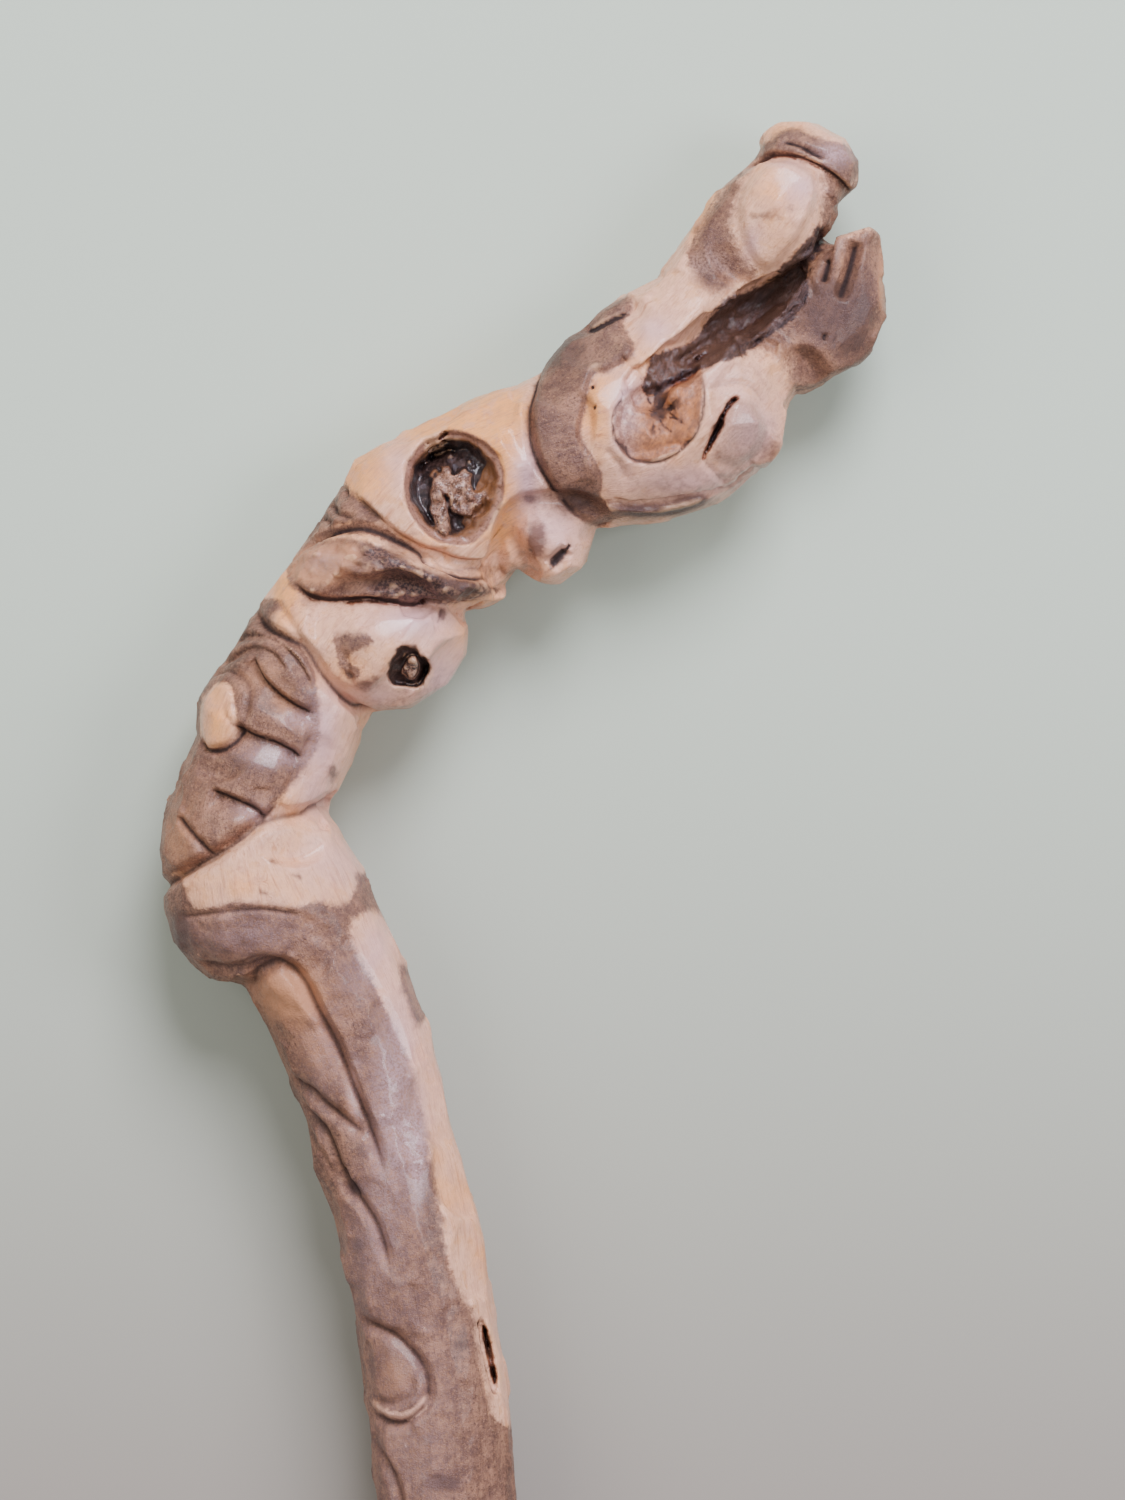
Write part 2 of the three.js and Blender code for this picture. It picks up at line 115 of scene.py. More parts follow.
# An oval lump: its middle, its height over the middle line, its half sizes, its turn in degrees,
# and how softly it grows out of the rest.
Knob = namedtuple("Knob", "x y rise wide tall deep turn blend")
BELLY = Knob(-15, 214.5, 2.5, 20.8, 17, 20, 18, 1.2)
LEAF_BODY = Knob(-11.8, 231.2, 0.5, 26.4, 8, 24, -9, 0.6)
NUB = Knob(26.6, 238.8, 2, 9, 8.8, 11, -20, 3)
CROWN = Knob(54, 270.5, 0, 32, 24.6, 23.2, 24, 5)
CHEEK = Knob(76, 268.4, 7, 8, 11, 9, -8, 3)
STUB = Knob(83, 320.5, 6, 10.5, 14, 8.6, -12, 3)
CAP = Knob(90.6, 334, 0, 12.8, 9.4, 11, -24, 1.2)
PRONG_CHEEK = Knob(92.8, 325.4, -1, 4.0, 9.0, 8, -30, 3)


def lift(y):
    """Height of the middle line over the floor."""
    return FOOT_HEIGHT + HEAD_RISE * (y - FOOT_Y) / (HEAD_Y - FOOT_Y)


def smooth_rows(rows, step):
    """A smooth curve through the rows, sampled every step; a row starts with its place."""
    rows = np.array(rows, float)
    size = min(3, rows.shape[1]) if rows.shape[1] < 5 else 2
    gaps = np.linalg.norm(np.diff(rows[:, :size], axis=0), axis=1)
    at = np.concatenate([[0.0], np.cumsum(gaps)])
    slope = np.gradient(rows, at, axis=0)
    want = np.linspace(0, at[-1], max(3, int(round(at[-1] / step)) + 1))
    i = np.clip(np.searchsorted(at, want, side="right") - 1, 0, len(rows) - 2)
    span = (at[i + 1] - at[i])[:, None]
    t = (want - at[i])[:, None] / span
    back = 2 * t**3 - 3 * t**2 + 1
    return (
        back * rows[i]
        + (t**3 - 2 * t**2 + t) * span * slope[i]
        + (1 - back) * rows[i + 1]
        + (t**3 - t**2) * span * slope[i + 1]
    )


def soft_min(a, b, blend):
    """Joins two fields with a rounded corner."""
    near = np.maximum(blend - np.abs(a - b), 0)
    return np.minimum(a, b) - near * near / (4 * blend)


def soft_max(a, b, blend):
    """Cuts one field by another with a rounded corner."""
    return -soft_min(-a, -b, blend)


def ramp(low, high, value):
    """0 up to low, 1 from high on, smooth between."""
    t = np.clip((value - low) / (high - low), 0, 1)
    return t * t * (3 - 2 * t)


class Limb:
    """A branch with an uneven oval section that follows its stations.

    SPACING is the distance between its samples, and a sample farther off than REACH is never the
    nearest one, both in millimetres.
    """

    REACH = 45.0
    SPACING = 1.0

    def __init__(self, stations, blend, end=4.0, drop=0.0, heights=None):
        rows = smooth_rows(stations, self.SPACING)
        self.x, self.y = rows[:, 0], rows[:, 1]
        self.z = lift(self.y) - drop if heights is None else heights(self.x, self.y)
        run = np.gradient(rows[:, :2], axis=0)
        self.gap = np.linalg.norm(run, axis=1)
        self.tx, self.ty = (run / self.gap[:, None]).T
        self.size = np.column_stack([rows[:, 2:], self.z])
        self.growth = np.gradient(self.size, axis=0) / self.gap[:, None]
        self.blend = blend
        self.end = end

    def nearest(self, x, y):
        """Nearest sample of each point, and how far the point lies beside it and along it."""
        pick = np.nonzero((self.y > y.min() - self.REACH) & (self.y < y.max() + self.REACH))[0]
        if not pick.size:
            return None
        away = (x[:, None] - self.x[pick]) ** 2 + (y[:, None] - self.y[pick]) ** 2
        i = pick[away.argmin(1)]
        dx, dy = x - self.x[i], y - self.y[i]
        return i, dy * self.tx[i] - dx * self.ty[i], dx * self.tx[i] + dy * self.ty[i]

    def field(self, x, y, z):
        """Rough distance from the limb's skin, negative inside; None where it is far away."""
        found = self.nearest(x, y)
        if found is None:
            return None
        i, beside, along = found
        last = len(self.x) - 1
        past = np.where(i == 0, np.maximum(-along, 0), np.where(i == last, np.maximum(along, 0), 0))
        inner = np.where(past > 0, 0, along)
        size = self.size[i] + self.growth[i] * inner[:, None]
        half = np.where(beside > 0, size[:, 0], size[:, 1])
        flat = (beside / half) ** 2 + (past / self.end) ** 2
        steep = (beside / half**2) ** 2 + (past / self.end**2) ** 2
        rise = z - size[:, 3:4]
        deep = size[:, 2:3]
        q = np.sqrt(flat[:, None] + (rise / deep) ** 2)
        k = np.sqrt(steep[:, None] + (rise / deep**2) ** 2) + 1e-6
        return q * (q - 1) / k

    def axis_at(self, level):
        """Place and leftward direction of the middle line at a level."""
        i = int(np.argmin(np.abs(self.y - level)))
        return np.array([self.x[i], self.y[i], self.z[i]]), np.array([-self.ty[i], self.tx[i], 0.0])


class Ball:
    """An oval lump, which has no effect farther off than REACH."""

    REACH = 12

    def __init__(self, x, y, z, half, turn, blend):
        self.middle = (x, y, z)
        self.half = half
        self.turn = math.radians(turn)
        self.blend = blend

    def field(self, x, y, z):
        """Rough distance from the lump's skin, negative inside; None where it is far away."""
        mx, my, mz = self.middle
        wide, tall, deep = self.half
        far = max(wide, tall) + self.REACH
        if y.min() > my + far or y.max() < my - far:
            return None
        c, s = math.cos(self.turn), math.sin(self.turn)
        u = (x - mx) * c + (y - my) * s
        v = (y - my) * c - (x - mx) * s
        flat = (u / wide) ** 2 + (v / tall) ** 2
        steep = (u / wide**2) ** 2 + (v / tall**2) ** 2
        rise = z - mz
        q = np.sqrt(flat[:, None] + (rise / deep) ** 2)
        k = np.sqrt(steep[:, None] + (rise / deep**2) ** 2) + 1e-6
        return q * (q - 1) / k


def lump(knob):
    """The knob as a lump that stands on the middle line."""
    half = (knob.wide, knob.tall, knob.deep)
    return Ball(knob.x, knob.y, lift(knob.y) + knob.rise, half, knob.turn, knob.blend)


class Body:
    """The whole branch as one field: negative inside the wood, in millimetres.

    FAR is the field where there is no wood near, and STEP the spacing at which the skin is sought.
    """

    FAR = 9.0
    STEP = 0.25

    def __init__(self):
        self.limbs = {
            "shaft": Limb(SHAFT, 3.0, end=12.0),
            "torso": Limb(TORSO, 3.0, end=3.0),
            "prong": Limb(PRONG, 6.0, end=6.0),
            "ear": Limb(EAR, 5.0, end=3.0),
            "web": Limb(WEB, 3.0, end=4.0, drop=WEB_DROP),
        }
        shaft, torso, *prongs = self.limbs.values()
        knobs = (BELLY, LEAF_BODY, NUB, CHEEK, STUB, PRONG_CHEEK, CAP)
        self.solid = [shaft, torso, lump(CROWN), *prongs, *map(lump, knobs)]
        # The crevice follows the skin as it is without the crevice.
        self.hollow = []
        self.hollow = [Limb(CREVICE, 0.8, end=3.0, heights=self.top)]

    def field(self, x, y, z):
        """Rough distance from the skin at each place, for one or more heights over it."""
        total = None
        for form in self.solid:
            f = form.field(x, y, z)
            if f is not None:
                total = f if total is None else soft_min(total, f, form.blend)
        if total is None:
            return np.full((len(x), z.shape[-1]), self.FAR)
        for form in self.hollow:
            f = form.field(x, y, z)
            if f is not None:
                total = soft_max(total, -f, form.blend)
        return np.maximum(total, np.maximum(-z + 0 * total, (FOOT_Y - y)[:, None]))

    def at(self, p):
        """The field at loose points."""
        return self.field(p[:, 0], p[:, 1], p[:, 2:3])[:, 0]

    def top(self, x, y):
        """Height of the uppermost skin over each place."""
        z = np.arange(0, STAFF_TOP + 2, self.STEP)
        f = self.field(np.asarray(x, float), np.asarray(y, float), z)
        hit = f < 0
        j = f.shape[1] - 1 - np.argmax(hit[:, ::-1], axis=1)
        j = np.where(hit.any(1), np.minimum(j, f.shape[1] - 2), 0)
        row = np.arange(len(j))
        a, b = f[row, j], f[row, j + 1]
        share = np.clip(a / np.where(a == b, 1, a - b), 0, 1)
        return np.where(hit.any(1), z[j] + share * self.STEP, lift(np.asarray(y, float)))

    def normal(self, p):
        """Outward direction of the skin at points near it."""
        slope = np.empty_like(p)
        for k in range(3):
            step = np.zeros(3)
            step[k] = 0.4
            slope[:, k] = self.at(p + step) - self.at(p - step)
        return slope / (np.linalg.norm(slope, axis=1, keepdims=True) + 1e-9)

    def settle(self, p):
        """Moves points onto the skin."""
        for _ in range(3):
            p = p - self.at(p)[:, None] * self.normal(p)
        return p

    def on_top(self, places):
        """Skin points straight under places seen from above."""
        places = np.array(places, float)
        return np.column_stack([places, self.top(places[:, 0], places[:, 1])])

    def on_limb(self, name, marks):
        """Skin points of a limb, from levels and angles; 0 degrees faces up, more is further left."""
        found = []
        reach = np.arange(0.5, 40, self.STEP)
        for level, angle in marks:
            start, left = self.limbs[name].axis_at(level)
            a = math.radians(angle)
            way = left * math.sin(a) + np.array([0, 0, math.cos(a)])
            ray = start + reach[:, None] * way
            out = np.nonzero(self.at(ray) > 0)[0]
            found.append(ray[out[0]] if len(out) else ray[-1])
        return np.array(found)


# A cut's path is seen from above, or is levels and angles where it names a limb. Then follow its
# width and depth, the shape of its section, and how dark the shade painted in it is, from 0 to 1.
Cut = namedtuple("Cut", "path wide deep shape ink limb", defaults=(None,))

SHAFT_CUTS = [
    Cut([(-48.6, 127.6), (-45.6, 132.6), (-40.4, 134.6), (-36.2, 131), (-31.6, 122.8), (-26.8, 113.6),
         (-22.4, 102.8), (-17.8, 91.6), (-13.6, 80)], 5.6, 2.6, "vee", 0.6),
    Cut([(112, 76), (108, 54), (102, 39), (92, 12)], 5, 1.9, "vee", 0.6, "shaft"),
    Cut([(106, 78), (98, 55), (83, 42), (72, 28), (58, 22)], 5, 2, "vee", 0.6, "shaft"),
    Cut([(148, -4), (135, -21), (124, -30), (111, -36), (98, -26), (78, -22), (59, -25), (48, -27)],
        8, 0.9, "gouge", 0.25, "shaft"),
    Cut([(50, 74), (43, 27), (34, 6), (27, 8), (22, 32), (25, 76)], 4.6, 1.9, "vee", 0.6, "shaft"),
    Cut([(18, 76), (10, 50), (-8, 38), (-30, 24), (-52, 16)], 5, 1.8, "vee", 0.5, "shaft"),
    Cut([(-14, -70), (-34, -48), (-58, -30), (-80, -24)], 5, 1.6, "vee", 0.5, "shaft"),
    Cut([(45, -54), (34, -57), (25, -60)], 3.4, 2.6, "gouge", 1.0, "shaft"),
    Cut([(138, 120), (134, 158), (118, 176), (92, 184), (70, 190)], 6, 2.2, "vee", 0.5, "shaft"),
    Cut([(104, 110), (88, 140), (66, 156)], 5, 1.6, "vee", 0.5, "shaft"),
    Cut([(52, -110), (36, -136), (14, -150), (-18, -160)], 5, 1.6, "vee", 0.5, "shaft"),
    Cut([(-17, 26), (-12.8, 25.5), (-9, 28), (-7.8, 32.5)], 3, 0.8, "gouge", 0.4),
    Cut([(-35.5, 96), (-31, 88), (-26, 80), (-22, 74)], 3.4, 0.7, "gouge", 0.3),
    Cut([(-26, 84), (-23.5, 79), (-22, 76)], 3, 1.1, "gouge", 0.7),
]
HIP_CUTS = [
    Cut([(-66, 146.2), (-60.2, 146.8), (-52.8, 147.8), (-46, 148.2), (-37.8, 147.2), (-34, 146.2)],
        2.4, 0.8, "vee", 0.55),
    Cut([(-61, 134.5), (-53, 133.2), (-46, 134.6), (-41, 136.2)], 5, 1.4, "gouge", 0.45),
    Cut([(159, 150), (158, 92), (160, 55), (163, 24), (169, -10), (178, -55), (184, -110)],
        5.5, 2.2, "vee", 0.6, "torso"),
]
PLATE_CUTS = [
    Cut([(-48, 211), (-47.2, 208.5), (-45.2, 205), (-40.8, 200.9), (-35.5, 197.6), (-31, 195.5)],
        7, 3, "ledge", 0.9),
    Cut([(-53.5, 194), (-48.1, 191.2), (-40.8, 188.6), (-37, 186.5), (-34, 184)], 7.5, 3, "ledge", 0.9),
    Cut([(-58.5, 177.6), (-51.7, 175.2), (-47, 173.2), (-42.8, 170.4)], 6.5, 2.8, "ledge", 0.85),
    Cut([(-66, 171.5), (-65.4, 170.5), (-61.7, 165.9), (-57.6, 161.2)], 3.6, 1.7, "vee", 0.75),
    Cut([(-69, 155.6), (-65.4, 157.3), (-59, 160.9), (-51.7, 164.9), (-44.5, 170.5), (-40, 175.5)],
        3.4, 1.8, "vee", 0.7),
    Cut([(-40, 175.5), (-36.5, 181), (-33.5, 187), (-32, 194), (-32.5, 201)], 4, 1.2, "vee", 0.25),
    Cut([(197, 112), (194, 150), (196, 190)], 8, 2.2, "ledge", 0.5, "torso"),
    Cut([(-61, 190), (-59.5, 187.9), (-55, 188.2), (-51.5, 191.4), (-50, 195)], 3, 1.6, "vee", 0.8),
    Cut([(-58.1, 206), (-52.6, 206.8), (-49, 203.2), (-49, 197.7), (-50, 193.2)], 3.4, 1.3, "vee", 0.45),
    Cut([(-56, 209), (-53.5, 210.8), (-48.1, 213.2), (-42.6, 211.4), (-38.4, 206.2)], 4, 1.5, "ledge", 0.4),
    Cut([(-53.5, 214), (-49.5, 216.2), (-45.4, 216), (-39, 212.3), (-34.5, 206.8), (-31.9, 201)],
        3.6, 1.4, "ledge", 0.4),
    Cut([(-52.5, 201), (-54.5, 196.8), (-51.8, 193.6)], 2.2, 0.7, "vee", 0.15),
]
BELLY_CUTS = [
    Cut([(-47.5, 223), (-44.5, 217.9), (-39.9, 215.5), (-35.9, 213.8), (-30.2, 206.5), (-24.8, 200.5),
         (-18.5, 197), (-10, 195)], 4.6, 2.6, "vee", 0.7),
    Cut([(-42, 225), (-37.5, 218), (-32, 210.5), (-27.5, 203.5)], 3, 1, "vee", 0.3),
    Cut([(-0.6, 223.5), (-0.4, 221.5), (-0.8, 219)], 1.6, 0.6, "gouge", 0.5),
]
LEAF_CUTS = [
    Cut([(-38.5, 229.5), (-33.5, 225.8), (-27.5, 225), (-18.5, 224.6), (-6.5, 224.2), (4.5, 224.2),
         (10, 224.6), (15, 226.5)], 6.4, 3.4, "under", 1.0),
    Cut([(-38.5, 233.5), (-34.8, 238), (-28.5, 241.8), (-18.5, 242.2), (-11.5, 238.8), (-3.5, 234.2),
         (4.5, 231.3), (12.5, 229.8)], 4.6, 2.8, "vee", 0.85),
]
NECK_CUTS = [
    Cut([(-23.5, 251.5), (-18.5, 246.8), (-11.5, 240.8), (-7.5, 238.4), (-1, 235.6), (5.5, 233.8),
         (11, 234.5), (15.5, 239), (18, 245.5)], 6, 2.2, "ledge", 0.55),
    Cut([(-20.5, 243.8), (-13.5, 239.8), (-8, 237.2), (0, 233.6), (8.5, 231.8), (14.8, 231.2)],
        2.4, 0.9, "vee", 0.45),
    Cut([(-33, 249.5), (-29.5, 247.6), (-26.2, 246), (-22.2, 245)], 3, 1.5, "vee", 0.6),
    Cut([(-37.5, 243), (-32, 244.4), (-27.8, 243.6)], 3, 1.3, "vee", 0.6),
    Cut([(-27.5, 256), (-25, 253), (-24, 250)], 2.6, 1.2, "vee", 0.4),
    Cut([(236, 176), (240, 216), (247, 250)], 5, 2, "vee", 0.4, "torso"),
]
NUB_CUTS = [
    Cut([(19.2, 246.5), (18.2, 240), (19, 233.5)], 5, 1.8, "gouge", 0.25),
    Cut([(26, 232.8), (28.2, 234.6), (30.8, 237.4)], 5.6, 2.0, "gouge", 1.0),
    Cut([(31.4, 239), (30.8, 237)], 2, 0.8, "gouge", 1.0),
]
HEAD_CUTS = [
    Cut([(27.5, 290.5), (24.2, 284.5), (21.8, 276.8), (20.6, 270), (21, 264.2), (23, 258.2), (26.3, 252.5),
         (30.3, 247), (34.6, 243.8)], 3.6, 1.8, "vee", 0.8),
    Cut([(41, 249.8), (48.5, 248.4), (56, 249.2), (62.2, 250.8), (66.5, 251.8), (72.2, 254.4)],
        2.8, 1.5, "ledge", 0.85),
    Cut([(66.5, 252.6), (70.5, 252.6), (73.5, 255), (77.2, 258)], 2.4, 0.8, "vee", 0.4),
    Cut([(48.5, 277), (43.5, 274), (41.5, 268.8), (42, 263.8), (45, 259.8), (49.8, 257.9), (55.5, 259),
         (60, 262.4), (63, 267.5), (64.2, 274.5), (63.5, 282)], 2, 0.7, "vee", 0.75),
    Cut([(39.5, 262), (41.5, 259.5), (43.5, 257), (44.5, 253.5)], 3, 0.8, "vee", 0.3),
    Cut([(63.5, 276), (68, 277.6), (73, 278.4), (77.5, 276.4), (81, 272)], 2.4, 0.7, "vee", 0.35),
    Cut([(36.4, 277.8), (36.2, 276.4)], 1.6, 1.0, "gouge", 1.0),
    Cut([(37, 272.6), (37, 271.2)], 1.4, 0.9, "gouge", 1.0),
    Cut([(75, 260.5), (77.2, 257), (75.8, 253.5)], 2.6, 0.7, "ledge", 0.3),
    Cut([(70, 253.6), (66.5, 256.2), (63.5, 259.6)], 3, 0.8, "vee", 0.3),
]
PRONG_CUTS = [
    Cut([(74, 333.6), (80.5, 335.6), (85.5, 335.2), (90.5, 333.5), (95.5, 330.8), (101, 326.5)],
        5, 2.6, "under", 0.8),
    Cut([(83.5, 338.8), (87.5, 337.6), (92, 335.4), (95, 334.2)], 2.2, 1.0, "vee", 0.9),
]
EAR_CUTS = [
    Cut([(95.2, 310), (94.7, 307.2), (93.6, 303.8)], 3.2, 1.9, "vee", 1.0),
    Cut([(102.6, 314.4), (101.8, 311), (100.4, 306), (98, 299)], 4.8, 2.6, "vee", 0.9),
    Cut([(94.4, 291), (94, 289)], 2, 0.8, "gouge", 0.9),
    Cut([(88, 309.4), (90.5, 304.5), (92.2, 299.4)], 2.6, 0.7, "vee", 0.4),
    Cut([(103.4, 317), (102.8, 312), (101.2, 306.4)], 2, 0.4, "vee", 0.0),
]
ALL_CUTS = (
    SHAFT_CUTS + HIP_CUTS + PLATE_CUTS + BELLY_CUTS + LEAF_CUTS + NECK_CUTS + NUB_CUTS + HEAD_CUTS + PRONG_CUTS
    + EAR_CUTS
)

# Flat knife cuts: x, y, depth under the skin, lean to the right and lean up the picture in degrees.
FLATS = [
    (-12.5, 219.5, 1.5, 0, 18), (-3, 213, 1.3, 22, 6), (-21, 208, 1.1, -14, -6), (-9, 200.5, 1.2, 8, -26),
    (1, 206, 1.2, 30, -12), (-22, 218, 0.9, -16, 12), (7, 271, 1.3, -6, 24), (-6, 270, 1.2, -12, 22),
    (-15, 258, 1.3, -20, 16), (2, 252, 1.5, 2, -2), (12, 247, 1.0, 10, -14), (-13, 248, 0.9, -4, -14),
    (24, 262, 1.2, 10, -10), (25.5, 268, 1.6, 4, 4), (24, 240, 0.9, -8, 14), (30, 240.5, 1.3, 10, 16),
    (28, 234, 1.3, 6, -22), (33.5, 236, 1.2, 30, -6), (22, 234, 1.2, -14, -18), (81, 329.5, 1.0, -4, 12),
    (87.5, 327.5, 1.0, 14, 6), (76, 314, 1.4, -14, -16), (85, 315.5, 0.9, 6, -14), (83.5, 310.5, 1.5, 6, -28),
    (75, 322, 1.2, -24, 4), (86, 340.5, 1.3, -8, 34), (94, 338.6, 1.3, 12, 26), (91, 337, 1.2, 2, 8),
    (99, 334, 1.3, 30, 6), (68, 318, 1.3, -26, 16), (64, 309, 1.2, -22, 20), (58, 300, 1.2, -14, 24),
    (46, 288, 1.3, -8, 22), (58, 291, 1.0, 4, 12), (52, 253.5, 1.6, 0, -24), (63, 255, 1.6, 8, -22),
    (72, 259, 1.4, 20, -22), (80, 264.5, 1.4, 32, -12), (76.5, 273, 1.2, 14, 10), (58, 250, 1.5, 2, -40),
    (69.5, 279, 1.2, 8, 14), (84, 277, 1.3, 26, 4), (46, 252, 1.3, -6, -26), (31, 282, 1.3, -18, 18),
    (27, 268, 1.2, -22, 0), (31, 254, 1.2, -16, -20), (39, 291, 1.2, -8, 30), (92, 284.5, 1.0, 10, -22),
    (101, 291, 1.0, 20, -8), (98, 297, 1.2, 4, 4), (105, 303, 1.0, 26, 4), (92.5, 297, 1.0, -10, 8),
    (-56, 198.6, 1.0, -22, 14), (-55.5, 191.5, 1.2, -16, -14), (-45, 195.5, 1.2, -4, 10),
    (-38.5, 204.5, 1.0, 4, 8), (-45.5, 183, 1.2, -6, 8), (-55, 183.5, 1.0, -20, 6), (-53, 168.5, 1.2, -6, 4),
    (-63, 175, 1.0, -24, 10), (-29.5, 193, 1.3, 20, 4), (-33, 179, 1.3, 22, -4), (-38, 170.5, 1.2, 20, -14),
    (-46.5, 158, 1.4, -2, 8), (-33, 156, 1.3, 12, 10), (-58, 153.5, 1.1, -18, 4), (-52, 142, 1.2, -6, -14),
    (-63, 143, 1.1, -30, -12), (-38, 141, 1.1, 6, -8), (-27, 152, 1.1, 22, 8), (-16, 138, 1.2, 22, 4),
    (-37, 123, 1.2, -10, 2), (-31, 108, 1.0, -10, 2), (-24, 128, 1.0, 10, 2), (-8, 120, 1.3, 24, 2),
    (-1, 100, 1.3, 26, 0), (4, 82, 1.3, 26, 0), (9, 62, 1.2, 28, 0), (-14, 105, 0.9, 6, 2),
    (-9, 84, 0.9, 8, 2), (-3, 62, 0.9, 10, 2), (-24, 88, 0.9, -14, 2), (-19, 70, 0.9, -10, 0),
    (-12, 33, 1.1, -8, 6), (1, 36, 0.9, 10, 0), (0, 12, 1.0, 8, 0), (12, 10, 1.1, 30, 0),
    (-12, 10, 1.0, -16, 4), (2, -14, 1.0, 10, 0), (-12, -20, 1.0, -16, 0), (12, -30, 1.1, 26, 0),
    (-4, -48, 1.0, -4, 0), (8, -66, 1.0, 14, 0),
]

# Outlines, seen from above, of bark and of stains and of patches left proud.
COLLAR = [
    (34.2, 296), (40, 299), (46, 300.4), (46.4, 296.6), (44.4, 293.4), (46, 290), (47.2, 287), (46.2, 284.2),
    (43, 282), (39.5, 280.4), (37, 280), (35, 272), (34, 265), (38, 258), (39.2, 254), (39, 250), (44, 248.8),
    (53.5, 248.2), (63.5, 250.5), (64.5, 249.2), (61, 247), (51, 245.2), (43.5, 245), (38.5, 243.2),
    (34.8, 244), (30.5, 246.8), (26.2, 252.2), (23, 258.8), (21.2, 265), (21, 271.2), (22, 276.8),
    (24.8, 285), (29, 290.8),
]
PRONG_BARK = [
    (77.2, 333.8), (74, 330), (72.8, 325), (71, 317.5), (71.8, 313.8), (74, 309.5), (77.8, 305.5),
    (73.5, 303), (67.5, 300.8), (63.5, 303), (61.8, 306.2), (59.5, 309.5), (61, 313.8), (64.8, 321.2),
    (69, 327.5), (73, 332),
]
CAP_BARK = [
    (75, 335.5), (80.5, 339.5), (84.8, 342.2), (88.5, 341.5), (92.2, 339.8), (100.5, 337.8), (105, 335),
    (103, 330.5), (100, 327.5), (96, 330), (93, 332.5), (88.5, 334.5), (83.5, 335.5), (78.5, 334.5),
]
EAR_BARK = [
    (72.2, 287.5), (79.8, 292.5), (87.5, 298.8), (89.5, 303.8), (91.5, 311), (95, 314.2), (101, 316),
    (106.5, 319), (109, 317), (112, 300), (109.5, 288), (104.5, 282), (98.5, 279), (88.5, 275.5), (85.2, 280),
    (83.5, 283.8), (77.2, 286.8),
]
LEAF = [
    (-38, 235.8), (-32, 239.2), (-24, 239.8), (-17.8, 238.5), (-11.5, 235), (-5.2, 232), (-0.2, 230),
    (8.5, 228.8), (14, 227.5), (6, 224.5), (-1.5, 223.5), (-11.5, 223.5), (-26.5, 224), (-34.5, 225.5),
    (-39.5, 230),
]
TUFT = [
    (-27, 254.5), (-23.5, 252), (-20.2, 249.2), (-15.2, 245), (-19, 243), (-24, 243.5), (-30.2, 242),
    (-37, 239), (-35, 248.8),
]
BELLY_PATCH = [
    (-27.2, 216), (-18.5, 216), (-17.5, 213.5), (-22.8, 211.2), (-23.5, 209.5), (-20.2, 207), (-22.8, 204.5),
    (-25.8, 208), (-27.2, 212.5),
]
PLATES = [
    (-46, 225.5), (-53, 218.8), (-58.5, 212.5), (-63, 203.8), (-65, 195), (-66, 185), (-72, 171.2),
    (-76, 163.8), (-75, 156), (-66.5, 157), (-58, 160.5), (-46, 169.5), (-39, 177.5), (-34, 183.8),
    (-30.8, 190), (-31, 200), (-32.5, 208.8), (-37, 215), (-42.8, 219.5), (-40.2, 223.8),
]
CHIP = [
    (-56, 204.2), (-60.2, 200), (-61, 193.8), (-59.5, 188.8), (-57.8, 187.5), (-51.5, 190.5), (-51.5, 195),
    (-52.8, 202.5),
]
LOWER_BARK = [
    (-80, 157), (-67, 156.5), (-64, 153.8), (-62.5, 149.5), (-58.5, 148.5), (-51.5, 150.2), (-41.5, 149),
    (-36.5, 148.8), (-31, 150.2), (-25.2, 149.2), (-22.5, 152.5), (-20, 157), (0, 145), (30, 50), (40, -60),
    (-40, -60), (-60, 90), (-80, 130),
]
STREAK = [
    (-23.5, 143.8), (-21, 146.5), (-17, 147), (-12.8, 141.2), (-6, 130), (0, 115), (6, 97.5), (12, 78.8),
    (16, 65), (16, 45), (17, 38.8), (20, 25), (20, 17.5), (13, 21.2), (10.5, 27.5), (8.5, 37.5), (7.2, 47.5),
    (4, 52.5), (0.8, 62.5), (-1.2, 75), (-3.8, 87.5), (-6.2, 100), (-8.8, 110), (-12.5, 118.8), (-16, 126.2),
    (-19.5, 133.8), (-22, 138),
]
STREAK_BARK = [(-11.5, 134.5), (-7, 130), (-4.5, 122), (-7.2, 119), (-9.2, 124), (-11, 128.8)]
EYE_RIM = [
    (-18, 26), (-15.2, 24), (-10.2, 23.5), (-5.5, 27), (-4, 28), (-4.5, 25), (-8.5, 21.8), (-12.8, 21.8),
    (-17.5, 24),
]
LEAF_TOP = [
    (-47, 128.8), (-45, 133), (-40.5, 134.5), (-37, 130.5), (-29, 118.8), (-24, 108), (-20, 95.5),
    (-23.5, 102.5), (-27.8, 111.2), (-32, 117.5), (-37.5, 123), (-42.8, 125.5), (-46, 125),
]
PRONG_SIDE = [
    (94.5, 332), (100, 328.5), (104, 331), (104.5, 327), (99.5, 318), (96.5, 311), (91.5, 309.5), (88, 308.5),
    (91, 314.5), (93.4, 322),
]
EYE_BOSS = [
    (70.2, 274.4), (74.8, 274.6), (79.4, 269.8), (79.4, 263.2), (73.8, 257.6), (67, 258.6), (65.6, 262.4),
    (68.4, 267.6),
]
TOP_SLIT = [(35.6, 291.6), (38.5, 293.4), (42.6, 295.4), (45, 295.8), (43, 294.2), (40, 292.6), (37.2, 291.2)]
SHAFT_SLIT = [(8.8, 46.5), (10.6, 43), (11.8, 37), (13, 30.5), (12.4, 28.5), (11, 31), (9.8, 36), (8.8, 41)]
VALLEY = [
    (-37.5, 236.5), (-34, 240.4), (-28.5, 243), (-18.5, 244), (-11.5, 240.5), (-8, 237.5), (-12.5, 237.8),
    (-18.5, 240.4), (-28.5, 240.4), (-34, 237),
]
